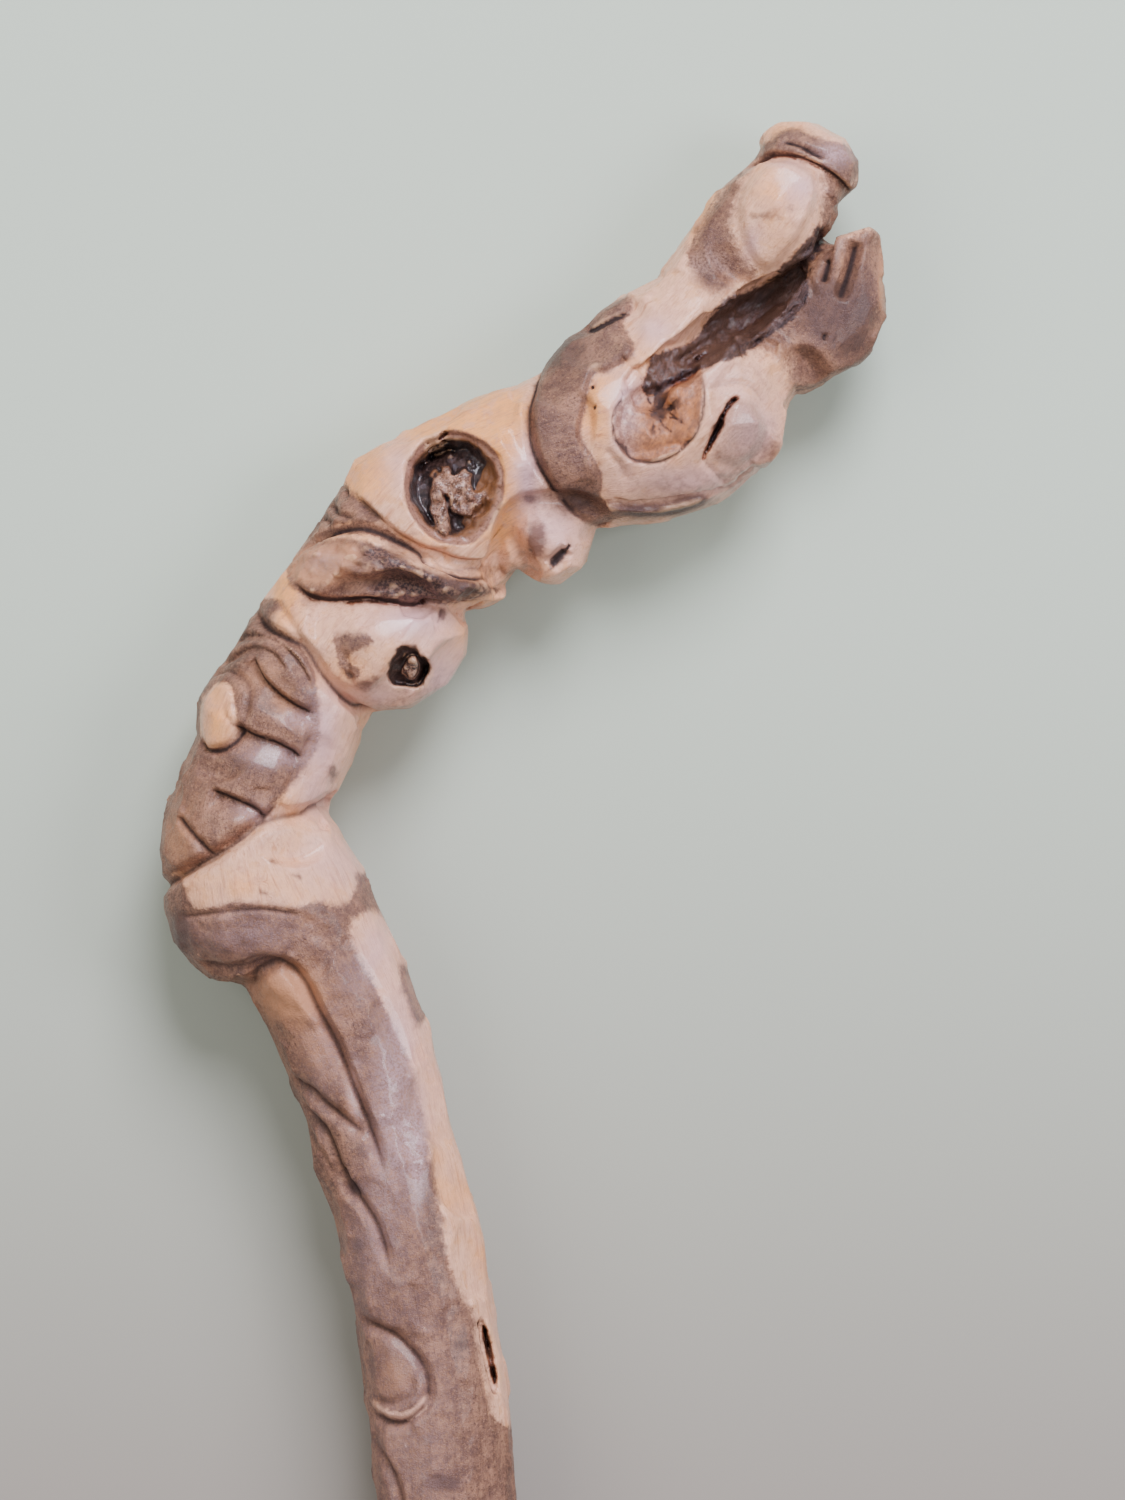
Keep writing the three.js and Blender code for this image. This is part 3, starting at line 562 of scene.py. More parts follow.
CREVICE_STAIN = [
    (48.5, 276.2), (49.8, 283), (52.2, 286), (61, 289.5), (64.2, 293.8), (67.2, 298), (71, 300.8),
    (79.8, 305), (83.5, 308), (86, 311.2), (90, 315.5), (94, 318), (95, 314.2), (92.5, 310), (91, 306),
    (90.8, 301.5), (89, 296.8), (81.4, 290.2), (74, 284.8), (65, 281.6), (57.5, 278.2), (52.6, 275),
]
SPIRAL_STAIN = [
    (63.5, 283), (64, 275), (62.8, 267), (59.5, 262), (54.8, 260), (48.5, 258), (44, 260), (41.8, 265),
    (41.8, 270), (43.5, 274.2), (48.5, 278), (53.5, 278.8), (58.5, 281.5),
]
SLIT_STAIN = [
    (73, 274.5), (70.5, 274.5), (68.5, 271.2), (66, 267), (64.2, 262.5), (63.2, 258.5), (65.5, 261.2),
    (67.5, 264.2), (69, 267.5), (70, 271.2),
]
NUB_SLOT = [(25.6, 232), (27.8, 232.8), (30, 235.6), (31, 238.2), (29.2, 237.2), (26.6, 234.8)]
LEAF_DARK = [
    (-21.5, 238), (-15.2, 238), (-6.5, 233), (1, 229.2), (6, 226.2), (-1.5, 224), (-16.5, 224.5),
    (-19, 228.8), (-15.2, 231.2), (-20.2, 235),
]
KNOT_STAIN = [
    (3, 267), (8.5, 265), (12.8, 261.2), (14.8, 256.2), (14.8, 250), (12.8, 245), (9, 240), (4.8, 238),
    (-1.5, 238.8), (-6.5, 242.5), (-9.5, 248), (-10.2, 253.8), (-9, 260), (-5.2, 264.2), (-1.5, 266.2),
]
PRONG_BLOB = [(60, 309.5), (63.5, 311.8), (69, 312), (71, 309.5), (70.5, 306.2), (64.8, 305), (61, 306)]
HEEL = [
    (-66, 147), (-58, 146.5), (-46, 147.5), (-36, 147), (-28, 146), (-20, 134), (-14, 118), (-9, 100),
    (-6, 84), (-11, 84), (-17, 100), (-24, 116), (-30, 128), (-38, 136), (-48, 133), (-58, 134), (-66, 138),
]
BOSS = [
    (72.8, 325), (76, 330.5), (81, 333.8), (87.2, 334.2), (92.2, 330.5), (93, 325), (90.5, 318), (86.8, 312),
    (81, 306), (76.5, 308), (73.5, 313.8), (72.2, 320),
]

# Knot holes and what stands in them, seen from above: middle, half sizes, turn in degrees.
Oval = namedtuple("Oval", "middle half turn")
KNOT_CORE = Oval((3.6, 250.6), (5.4, 6.6), 12)
KNOT_BRANCH = Oval((-1.4, 248.2), (2.5, 8.0), 8)
BELLY_KNOT = Oval((-8.9, 207.6), (5.5, 5.2), 0)
BELLY_CORE = Oval((-8.2, 208.4), (1.9, 2.7), -16)
# The middle of the spiral hollow, and the torn folds that run into it.
STAR = (52.8, 270.6)
FOLDS = [
    [(47.6, 281), (49.6, 277.6), (50.4, 274), (52.8, 270.8)],
    [(50.8, 281.5), (52.4, 277), (51.8, 274), (53, 270.8)],
    [(52.8, 271), (55.2, 270.6), (58.4, 268.2)],
    [(52.8, 271), (53.4, 268.4), (55.8, 266)],
]
# The way the crevice's torn strands run, in radians.
CREVICE_LEAN = 0.62

# Depths and heights of the hollows, in millimetres: the neck's knot hole with the shelf and the
# core that stand up from its floor, the belly's, and the spiral hollow with the well in its middle.
NECK_DEPTH = 8.2
NECK_SHELF = 2.4
NECK_CORE = 4.4
BELLY_DEPTH = 3.4
BELLY_CORE_HEIGHT = 2.6
SPIRAL_DEPTH = 2.2
SPIRAL_WELL = 2.4
FOLD_DEPTH = 0.6
# Where the neck's hole gets its ring of painted black shade: this far inside its edge.
NECK_RING = 2.2

# Slits: outline, depth, the distances inside the outline where the wall starts and ends, and how
# rough the wall is.
SLITS = [
    (SLIT_STAIN, 4.0, -0.2, 1.3, 0.25), (TOP_SLIT, 0.8, -0.5, 1.0, 0.0), (SHAFT_SLIT, 2.6, -0.4, 1.2, 0.25),
]

# Wood left proud: outline, height, width of its soft edge, and whether it goes round to the back.
RAISED = [
    (COLLAR, 1.6, 2.2, True), (BOSS, 1.7, 2.6, False), (EYE_BOSS, 1.2, 3.0, False), (CHIP, 0.9, 0.9, False),
    (EYE_RIM, 0.6, 1.4, False), (LEAF_TOP, 0.9, 3.0, False),
]

# Rough bark: outline, size of its lumps, height, and the start of its random values.
ROUGH_BARK = [
    (LEAF, (1.5, 1.2, 1.3), 0.5, 12), (HEEL, (3.0, 2.2, 3.0), 0.32, 13), (TUFT, (2.0, 2.0, 2.0), 0.35, 14),
]

# Bark and bare patches, each with how crisp its edge is.
BARK_OUTLINES = [
    (COLLAR, 1), (PRONG_BARK, 0.4), (PRONG_SIDE, 0.35), (CAP_BARK, 0.8), (EAR_BARK, 0.25), (LEAF, 1),
    (TUFT, 0.8), (VALLEY, 0.8), (BELLY_PATCH, 0.8), (PLATES, 0.8), (LOWER_BARK, 0.8),
]
BARE_OUTLINES = [(CHIP, 1), (STREAK, 0.6), (EYE_RIM, 1)]
# Below this level the whole shaft is bark, this deep.
ALL_BARK_BELOW = -40.0
ALL_BARK_DEPTH = 8.0

# The stains that the finish reads, each with the outlines that it fills; the crevice's and the slits' one is
# dark torn wood with painted shade.
STAIN_OUTLINES = {
    "crack_wood_and_shade": (CREVICE_STAIN, SLIT_STAIN, SHAFT_SLIT), "char": (LEAF_DARK,), "warm": (SPIRAL_STAIN,),
    "knot": (KNOT_STAIN,), "grey": (EYE_BOSS, PRONG_BLOB),
}

# Soft patches: x, y, half sizes, strength. Lighter is positive and darker negative: some are stains, some
# painted light on lit tops and edges, and some painted shade on the sides of the belly and crown turned from
# the light.
TONES = [
    (-66, 166, 5, 10, 0.8), (-60, 180, 4, 8, 0.3), (-45, 206, 7, 5, 0.6), (-40, 199, 4, 3, 0.6),
    (-46, 183, 9, 4, -0.4), (-50, 171, 6, 4, 0.25), (-66, 143, 3, 6, -1.1), (-60, 137, 8, 4, -0.5),
    (-45, 141, 8, 3.5, -0.6), (-34, 146, 6, 3, 0.4), (-38, 127, 9, 7, 1.6), (-31, 113, 5, 9, 0.7),
    (-23, 101, 2.5, 9, 0.7), (-33, 99, 4, 6, -0.2), (-21.9, 79, 2.8, 2.2, -1.2), (-21.2, 65, 2.4, 2.4, -0.9),
    (-27, 70, 3, 8, 0.4), (-12, 33, 4, 6, 0.8), (-1, 6.5, 5, 2.4, -1.3), (3.5, 40, 3, 2, -0.8),
    (-6, 52, 4, 4, -0.4), (-8, 100, 4, 14, 0.4), (2, 60, 3, 10, 0.3), (-31, 233, 7, 5, 1.9),
    (-24, 236, 5, 3, 0.9), (-8, 229, 12, 4, -0.8), (6, 227, 6, 2.5, -0.6), (-23, 212, 4, 5, -0.3),
    (24, 270, 3, 12, 0.3), (33, 249, 4, 4, -0.5), (60, 312, 3, 6, 0.4), (66, 305, 4, 3, -0.7),
    (73, 303.5, 5, 2.5, 0.8), (79, 319.6, 5, 1.3, -0.8), (85, 321, 3.5, 0.9, -0.6), (104, 306, 4, 10, -0.4),
    (97, 298, 9, 9, -0.9), (108.6, 303, 1.4, 10, 1.4), (24, 262, 4, 10, -0.3), (29, 286, 5, 4, -0.3),
    (84, 286, 6, 4, 0.6), (98.4, 309, 1.3, 5, 1.0), (93, 336, 5, 2, -0.5), (-44.5, 152.3, 0.9, 0.9, -1.6),
    (-36.3, 156.4, 0.9, 0.7, -1.6), (-42.2, 160, 1.4, 0.9, -0.9), (-28, 181.6, 1.2, 2.4, -1.3),
    (22.6, 239.6, 2.4, 4.6, -1.7), (20.6, 249.6, 1.6, 1.2, -0.8), (37.5, 258, 1.8, 6, -0.5),
    (52, 247, 9, 1.6, -1.5), (61.5, 249.4, 5, 1.4, -1.2), (82, 262, 3, 6, -0.35), (-34, 224, 6, 3, -0.5),
    (-44, 219, 4, 4, -0.4), (-30, 257, 4, 4, -0.2), (16, 232, 5, 2, -0.4), (66, 285, 8, 2, 0.5),
    (-20, 150, 3, 4, -0.3), (14, 25, 3, 6, 0.3), (-5, 203, 9, 7, -0.45), (1, 199, 6, 4, -0.4),
    (-15, 198, 7, 3, -0.35), (60, 253, 17, 5, -0.35), (74, 257, 6, 6, -0.4), (80, 262, 4, 9, -0.4),
    (77, 281, 9, 4, -0.3), (-19.6, 203.4, 2.2, 1.3, -1.3), (-17, 205, 1.2, 1, -0.8),
    (-0.6, 221.2, 0.9, 1.8, -1.6), (44, 262, 3, 9, -0.25), (31, 286, 8, 8, -0.7), (24, 270, 4, 14, -0.6),
    (32, 250, 6, 5, -0.5), (96, 296, 9, 9, -0.7), (102, 288, 5, 6, -0.5), (66, 314, 4, 9, -0.5),
    (-34, 233, 5, 2.5, 0.6), (-12, 236, 5, 3, -0.6), (0, 228, 8, 2, -0.7), (-32, 215, 3, 8, -0.25),
    (24, 250, 5, 4, -0.2), (11, 232, 8, 3, -0.45), (-8, 241, 8, 2, -0.3),
]
# Patches of painted lilac sheen, where the bare wood is painted pink and lilac as a highlight, and where the
# varnish is thickest.
SHEEN_PATCHES = [
    (-8, 20, 10, 34, 0.35), (-20, 62, 7, 20, 0.35), (-48, 142, 14, 6, 0.5), (-14, 86, 5, 24, 0.7),
    (-30, 112, 5, 14, 0.4), (44.6, 268, 3, 9, 0.9), (48, 277, 3, 3, 0.4), (-8, 219.5, 9, 4.5, 1.1),
    (-1, 205, 7, 8, 0.9), (-18, 201, 7, 4, 0.6), (-30, 192, 4, 12, 1.0), (-33, 176, 4, 6, 0.6),
    (-26, 160, 8, 7, 0.5), (20.5, 255, 3.5, 9, 1.2), (27, 242, 7, 7, 0.8), (-12, 259, 4, 6, 0.5),
    (60, 254, 14, 4, 0.8), (76, 266, 7, 8, 0.9), (68, 279, 7, 4, 0.4), (52, 291, 5, 4, 0.8),
    (88, 327, 4, 4, 1.0), (84, 333, 5, 2, 0.5), (-6.5, 86, 2, 12, 1.2), (-17, 140, 4, 6, 0.6),
    (-2, 110, 4, 14, 0.3), (-12, 112, 5, 16, 0.9), (-20, 132, 5, 6, 0.6), (-9, 92, 3, 8, 0.8),
    (-37, 195, 4, 2, 0.8), (-42, 186, 7, 2.5, 1.1), (-47, 172, 4, 2, 1.0), (-22.5, 103, 1.5, 8, 0.8),
    (97, 335.5, 4, 2.5, 1.4), (76, 313, 2, 4, 0.8), (44, 275, 4, 6, 0.5), (-30, 234, 5, 3, 0.6),
]

# Patches where the bare wood is orange.
PEACHES = [
    (4, 270, 24, 8, 1.1), (-18, 254, 8, 10, 0.9), (14, 252, 6, 12, 0.9), (-4, 240, 14, 3, 0.8),
    (-40, 228, 5, 5, 0.9), (-48, 155, 14, 5, 0.8), (-38, 222, 5, 8, 0.8), (-56, 194, 4, 7, 0.7),
    (-38, 126, 8, 8, 0.9), (44, 288, 7, 7, 0.6), (62, 318, 8, 14, 0.5), (-30, 207, 6, 8, 0.5),
    (10, 60, 5, 20, 0.5), (38, 262, 3, 12, 0.5), (86, 340, 6, 4, 0.7), (88, 306, 8, 5, 0.6),
    (-10, 150, 8, 8, 0.3), (-20, 205, 5, 8, 0.4), (80, 322, 6, 10, 0.4),
]


def rounded(outline, turns=4):
    """A closed smooth outline through the given corners."""
    p = np.array(outline, float)
    before, after, later = np.roll(p, 1, 0), np.roll(p, -1, 0), np.roll(p, -2, 0)
    rows = []
    for k in range(turns):
        t = k / turns
        rows.append(
            0.5 * (2 * p + (after - before) * t + (2 * before - 5 * p + 4 * after - later) * t**2
                   + (3 * p - before - 3 * after + later) * t**3)
        )
    return np.stack(rows, 1).reshape(-1, 2)


def inside_by(outline, x, y, reach=8.0):
    """Distance from a smooth outline in millimetres, positive inside it and never under -reach."""
    ring = rounded(outline)
    low, high = ring.min(0) - reach, ring.max(0) + reach
    out = np.full(len(x), -reach)
    near = np.nonzero((x > low[0]) & (x < high[0]) & (y > low[1]) & (y < high[1]))[0]
    if not near.size:
        return out
    px, py = x[near], y[near]
    best = np.full(len(near), 1e9)
    odd = np.zeros(len(near), bool)
    for (ax, ay), (bx, by) in zip(ring, np.roll(ring, -1, 0)):
        ex, ey = bx - ax, by - ay
        wx, wy = px - ax, py - ay
        t = np.clip((wx * ex + wy * ey) / (ex * ex + ey * ey + 1e-12), 0, 1)
        best = np.minimum(best, (wx - t * ex) ** 2 + (wy - t * ey) ** 2)
        crosses = (ay > py) != (by > py)
        if crosses.any():
            odd ^= crosses & (px < ax + ex * (py - ay) / (ey if ey else 1e-12))
    away = np.sqrt(best)
    out[near] = np.maximum(np.where(odd, away, -away), -reach)
    return out


def cloud(p, size, seed):
    """Smooth random values from -1 to 1 whose features have the given size, one or three numbers."""
    side = 32
    table = np.random.default_rng(seed).uniform(-1, 1, (side, side, side)).astype(np.float32)
    q = p / np.asarray(size, np.float32)
    i = np.floor(q).astype(np.int32)
    t = (q - i).astype(np.float32)
    t = t * t * (3 - 2 * t)
    i &= side - 1
    j = (i + 1) & (side - 1)
    x0, y0, z0 = i.T
    x1, y1, z1 = j.T
    tx, ty, tz = t.T
    low = (table[x0, y0, z0] * (1 - tx) + table[x1, y0, z0] * tx) * (1 - ty)
    low += (table[x0, y1, z0] * (1 - tx) + table[x1, y1, z0] * tx) * ty
    high = (table[x0, y0, z1] * (1 - tx) + table[x1, y0, z1] * tx) * (1 - ty)
    high += (table[x0, y1, z1] * (1 - tx) + table[x1, y1, z1] * tx) * ty
    return low * (1 - tz) + high * tz


def near_line(path, x, y, reach=6.0):
    """Distance from a smooth line through the given places, at most reach."""
    line = smooth_rows(path, 0.5)
    low, high = line.min(0) - reach, line.max(0) + reach
    out = np.full(len(x), reach)
    near = np.nonzero((x > low[0]) & (x < high[0]) & (y > low[1]) & (y < high[1]))[0]
    if near.size:
        away = (x[near, None] - line[:, 0]) ** 2 + (y[near, None] - line[:, 1]) ** 2
        out[near] = np.minimum(np.sqrt(away.min(1)), reach)
    return out


def oval(x, y, middle, half, turn=0.0):
    """0 in the middle of an oval and 1 at its edge."""
    c, s = math.cos(math.radians(turn)), math.sin(math.radians(turn))
    dx, dy = x - middle[0], y - middle[1]
    return np.hypot((dx * c + dy * s) / half[0], (dy * c - dx * s) / half[1])


def neck_hole(x, y, lumps, grit):
    """Depth of the neck's knot hole, how far inside its ring of painted black shade, and how far up its core.
    """
    edge = inside_by(KNOT_STAIN, x, y) + 0.8 * lumps
    core = oval(x, y, *KNOT_CORE) + 0.4 * lumps + 0.25 * grit
    branch = oval(x, y, *KNOT_BRANCH) + 0.3 * lumps + 0.15 * grit
    raised = np.maximum(ramp(1.2, 0.6, core), 0.95 * ramp(1.25, 0.6, branch))
    shelf = ramp(-1, 2.5, x - 7.2 + 0.4 * (250 - y) + 1.2 * lumps)
    floor = NECK_DEPTH - NECK_SHELF * shelf
    depth = floor * (0.28 * ramp(-0.3, 1.4, edge) + 0.72 * ramp(1.8, 4.6, edge + 0.6 * ramp(0, -6, x)))
    depth -= raised * (NECK_CORE + 1.7 * grit + 1.3 * lumps - 1.2 * shelf) * ramp(1, 3, edge)
    depth += 0.45 * grit * ramp(0.5, 3, edge)
    black_shade = np.minimum(edge - NECK_RING + 0.7 * grit + 0.5 * lumps, 5 * (0.5 - raised) + grit)
    return depth, black_shade - 8 * shelf, raised


def fold_lines(x, y):
    """How strong the torn folds and rays round the star are, from 0 to 1."""
    lines = np.max([ramp(0.6, 0.0, near_line(path, x, y, 2.0)) for path in FOLDS], axis=0)
    dx, dy = x - STAR[0], y - STAR[1]
    away = np.hypot(dx, dy)
    turn = np.arctan2(dx, dy)
    rays = cloud(np.column_stack([3.4 * turn + 0.12 * away, 0.22 * away, 0 * x]), 1.0, 41)
    rays += 0.5 * cloud(np.column_stack([8 * turn, 0.4 * away, 0 * x]), 1.0, 42)
    burst = np.maximum(0.9 * lines, ramp(0.1, 0.6, rays) * ramp(10, 1.5, away))
    return np.maximum(burst, 0.8 * ramp(3.4, 0.8, away + 0.8 * rays))


def soft_patches(patches, x, y):
    """The sum of soft oval patches."""
    total = np.zeros(len(x))
    for px, py, wide, tall, amount in patches:
        near = np.nonzero((np.abs(x - px) < 2.5 * wide) & (np.abs(y - py) < 2.5 * tall))[0]
        away = ((x[near] - px) / wide) ** 2 + ((y[near] - py) / tall) ** 2
        total[near] += amount * np.exp(-away)
    return total


def hole_noise(x, y):
    """Lumps, and the finer grit, that roughen the knot holes and their edges."""
    place = np.column_stack([x, y, 0 * x])
    return cloud(place, 2.6, 31), cloud(place, 1.2, 32)


def belly_hole(x, y, lumps, grit):
    """The belly's knot hole and its core: 0 in the middle of each and 1 at its rough edge."""
    ring = oval(x, y, *BELLY_KNOT) + (0.14 * lumps + 0.1 * grit)
    return ring, oval(x, y, *BELLY_CORE) + 0.3 * lumps + 0.25 * grit


def torn_strands(x, y, grit):
    """Unevenness of the crevice's torn floor, drawn out along it."""
    c, s = math.cos(CREVICE_LEAN), math.sin(CREVICE_LEAN)
    strands = np.column_stack([y * c - x * s, x * c + y * s, 0 * x])
    torn = 0.9 * cloud(strands, (1.3, 8.0, 1.0), 33) + 0.4 * grit
    return torn * ramp(-0.5, 1.5, inside_by(CREVICE_STAIN, x, y))


def sunken(x, y):
    """How deep knot holes and slits sink under the upper skin, in millimetres."""
    lumps, grit = hole_noise(x, y)
    neck = neck_hole(x, y, lumps, grit)[0]
    ring, core = belly_hole(x, y, lumps, grit)
    belly = (BELLY_DEPTH + 0.4 * grit) * ramp(1.05, 0.82, ring)
    belly = belly - (BELLY_CORE_HEIGHT - 0.8 * grit) * ramp(1.1, 0.7, core)
    edge = inside_by(SPIRAL_STAIN, x, y) + 0.25 * lumps
    away = np.hypot(x - STAR[0], y - STAR[1])
    spiral = (SPIRAL_DEPTH + 0.35 * lumps + 0.2 * grit) * ramp(-0.2, 2.6, edge)
    spiral = spiral + SPIRAL_WELL * ramp(7.5, 0.5, away)
    spiral += FOLD_DEPTH * fold_lines(x, y)
    depth = neck + belly + spiral
    for outline, deep, start, full, rough in SLITS:
        depth += deep * ramp(start, full, inside_by(outline, x, y) + rough * grit)
    return depth + torn_strands(x, y, grit)


def in_parts(work, count, size):
    """Runs work(start, stop) over slices of count items on all cores, in order."""
    spans = [(a, min(a + size, count)) for a in range(0, count, size)]
    with ThreadPoolExecutor(4) as crew:
        return list(crew.map(lambda span: work(*span), spans))


class Trace:
    """A cut's path laid on the skin, with the directions across it.

    The cut fades in and out over FADE, a share of its length.
    """

    SPACING = 0.5
    FADE = 0.14

    def __init__(self, body, wanted):
        points = body.on_limb(wanted.limb, wanted.path) if wanted.limb else body.on_top(wanted.path)
        points = body.settle(points)
        self.points = body.settle(smooth_rows(points, self.SPACING))
        self.out = body.normal(self.points)
        run = np.gradient(self.points, axis=0)
        self.run = run / (np.linalg.norm(run, axis=1, keepdims=True) + 1e-9)
        side = np.cross(self.out, self.run)
        self.side = side / (np.linalg.norm(side, axis=1, keepdims=True) + 1e-9)
        share = np.linspace(0, 1, len(self.points))
        self.fade = ramp(0, self.FADE, share) * ramp(0, self.FADE, 1 - share)
        self.cut = wanted

    def box(self, spare):
        """Low and high corners round the path, with spare room."""
        return self.points.min(0) - spare, self.points.max(0) + spare

    def beside(self, p):
        """Signed distance across the path, distance past its ends or off the skin, and the nearest sample."""
        parts = np.array_split(p, max(1, len(p) // 4000))
        i = np.concatenate([((q[:, None] - self.points) ** 2).sum(2).argmin(1) for q in parts])
        d = p - self.points[i]
        across = (d * self.side[i]).sum(1)
        along = (d * self.run[i]).sum(1)
        proud = (d * self.out[i]).sum(1)
        ends = (i == 0) | (i == len(self.points) - 1)
        return across, np.where(ends, along, 0), proud, i


# The section of each kind of cut: its depth from 0 to 1 by the distance across it, which is -1 and
# 1 at its edges. The last two are steep on one side and long on the other.
CUT_SHAPES = {
    "vee": lambda s: 1 - np.abs(s),
    "gouge": lambda s: 1 - s * s,
    "ledge": lambda s: np.where(s > 0, 1 - s / 0.25, 1 + s),
    "under": lambda s: np.where(s > 0, 1 - s / 0.2, np.maximum(1 + s, 0) * (1 + 0.4 * s)),
}
STEPPED = ("ledge", "under")


class Skin:
    """The thin shell of grid points on both sides of the skin, where the fine carving is done.

    It goes BELOW and ABOVE the skin. A cut loses its depth over CUT_REACH, and a facet takes off
    MOST_SHAVED at most, all in millimetres. SHARP is how soft the edge between two facets is, as
    a share of a facet's width.
    """

    BELOW = 5.0
    ABOVE = 2.6
    CUT_REACH = 4.0
    MOST_SHAVED = 1.1
    SHARP = 0.14

    def __init__(self, points, field):
        self.p = points
        self.f = field

    def within(self, low, high):
        """Rows of the points between two corners."""
        rows = np.nonzero((self.p[:, 1] > low[1]) & (self.p[:, 1] < high[1]))[0]
        q = self.p[rows]
        keep = (q[:, 0] > low[0]) & (q[:, 0] < high[0]) & (q[:, 2] > low[2]) & (q[:, 2] < high[2])
        return rows[keep]

    def carve(self, trace):
        """Takes out the wood along one cut."""
        half = trace.cut.wide * (0.8 if trace.cut.shape in STEPPED else 0.5)
        rows = self.within(*trace.box(half + 3.5))
        if not rows.size:
            return
        across, past, proud, i = trace.beside(self.p[rows])
        shape = CUT_SHAPES[trace.cut.shape](across / half)
        depth = trace.cut.deep * trace.fade[i] * np.maximum(shape, 0) * (np.abs(past) < half)
        depth *= ramp(-half - self.CUT_REACH, -half, -np.abs(proud))
        self.f[rows] += depth

    def raise_patch(self, outline, height, soft, both_sides):
        """Leaves the wood inside an outline proud of the rest."""
        inside = inside_by(outline, self.p[:, 0], self.p[:, 1], 2.0)
        rows = np.nonzero(inside > 0)[0]
        amount = height * ramp(0, soft, inside[rows])
        if not both_sides:
            amount *= ramp(-3, 3, self.p[rows, 2] - lift(self.p[rows, 1]))
        self.f[rows] -= amount

    def whittle(self, body, spacing, strength, seed, low_y):
        """Flattens the skin into facets, as a knife leaves it."""
        near = np.nonzero((np.abs(self.f) < 0.3) & (self.p[:, 1] > low_y))[0]
        near = np.random.default_rng(seed).permutation(near)
        cell = np.floor(self.p[near] / spacing).astype(np.int64)
        key = (cell[:, 0] + 500) + 1000 * ((cell[:, 1] + 500) + 4000 * cell[:, 2])
        seeds = self.p[near[np.unique(key, return_index=True)[1]]].astype(float)
        seeds = body.settle(seeds)
        out = body.normal(seeds)
        order = np.argsort(self.p[:, 1], kind="stable")
        order = order[self.p[order, 1] > low_y]
        soft = 2 * (self.SHARP * spacing) ** 2

        def work(start, stop):
            rows = order[start:stop]
            p = self.p[rows].astype(float)
            mine = np.abs(seeds[:, 1] - p[:, 1].mean()) < (np.ptp(p[:, 1]) / 2 + 1.6 * spacing)
            s, n = seeds[mine], out[mine]
            if not len(s):
                return
            away = (p**2).sum(1)[:, None] - 2 * p @ s.T + (s**2).sum(1)
            weight = np.exp(-(away - away.min(1, keepdims=True)) / soft)
            weight /= weight.sum(1, keepdims=True)
            plane = p @ n.T - (s * n).sum(1)
            flat = (weight * plane).sum(1)
            share = strength * ramp(-4.5, -2.5, self.f[rows])
            self.f[rows] += share * np.clip(flat - self.f[rows], -self.MOST_SHAVED, self.MOST_SHAVED)

        in_parts(work, len(order), 20000)

    def flatten(self, body, flats, reach=14.0):
        """Cuts flat facets, each leaning between the skin's own direction and the given one."""
        flats = np.array(flats, float)
        places = body.on_top(flats[:, :2])
        own = body.normal(places)
        given = np.column_stack([np.tan(np.radians(flats[:, 3:5])), np.ones(len(flats))])
        given /= np.linalg.norm(given, axis=1, keepdims=True)
        out = own + given
        out /= np.linalg.norm(out, axis=1, keepdims=True)
        for place, normal, deep in zip(places, out, flats[:, 2]):
            rows = self.within(place - reach, place + reach)
            d = self.p[rows] - place
            plane = d @ normal + deep
            share = ramp(reach, 0.7 * reach, np.linalg.norm(d, axis=1))
            self.f[rows] += share * (soft_max(self.f[rows], plane, 0.5) - self.f[rows])


# The grid's ends from left to right, and its upper end.
GRID_WIDE = (-77, 115)
GRID_TOP = 350


def axis(low, high, step):
    """Evenly spaced grid lines."""
    return np.arange(low, high + step / 2, step)


def grid_axes(fine, coarse, join):
    """Grid lines: fine over the carved head, coarse along the plain shaft below the join."""
    x = axis(*GRID_WIDE, fine)
    plain = axis(FOOT_Y - 4, join - coarse, coarse)
    y = np.concatenate([plain, axis(join, GRID_TOP, fine)])
    z = axis(-2 * fine, STAFF_TOP + 3, fine)
    return x, y, z


def carve(sizes, fine):
    """Carves the branch on a grid, and gives the plain branch, the grid, its lines and the cuts' traces."""
    body = Body()
    x, y, z = grid_axes(fine * MM, sizes.coarse * MM, sizes.join * MM)
    gy, gx = np.meshgrid(y, x, indexing="ij")
    gx, gy = gx.ravel(), gy.ravel()

    def flat(a, b):
        """Places that have the branch, or its skin, over them."""
        f = body.field(gx[a:b], gy[a:b], lift(gy[a:b])[:, None])[:, 0]
        return np.nonzero(f < Body.FAR / 2)[0] + a

    live = np.concatenate(in_parts(flat, len(gx), 4000))

    def column(a, b):
        """The field at every height over those places."""
        return body.field(gx[live[a:b]], gy[live[a:b]], z).astype(np.float32)

    columns = np.concatenate(in_parts(column, len(live), 1500))
    row, level = np.nonzero((columns < Skin.ABOVE) & (columns > -Skin.BELOW))
    points = np.column_stack([gx[live[row]], gy[live[row]], z[level]]).astype(np.float32)
    skin = Skin(points, columns[row, level].astype(np.float32))
    skin.flatten(body, FLATS)
    skin.whittle(body, sizes.facet * MM, sizes.facet_strength, sizes.seed, sizes.join * MM)
    for patch in RAISED:
        skin.raise_patch(*patch)
    traces = [Trace(body, wanted) for wanted in ALL_CUTS]
    for trace in traces:
        skin.carve(trace)
    fibres(skin)
    waves(skin)
    columns[row, level] = skin.f
    depth = np.concatenate(in_parts(lambda a, b: sunken(gx[live[a:b]], gy[live[a:b]]), len(live), 40000))
    front = ramp(-6, 0, z - lift(gy[live])[:, None])
    columns += (depth[:, None] * front).astype(np.float32)
    volume = np.full((len(y) * len(x), len(z)), Body.FAR, np.float32)
    volume[live] = columns
    volume = volume.reshape(len(y), len(x), len(z)).transpose(1, 0, 2)
    return body, volume, (x, y, z), traces


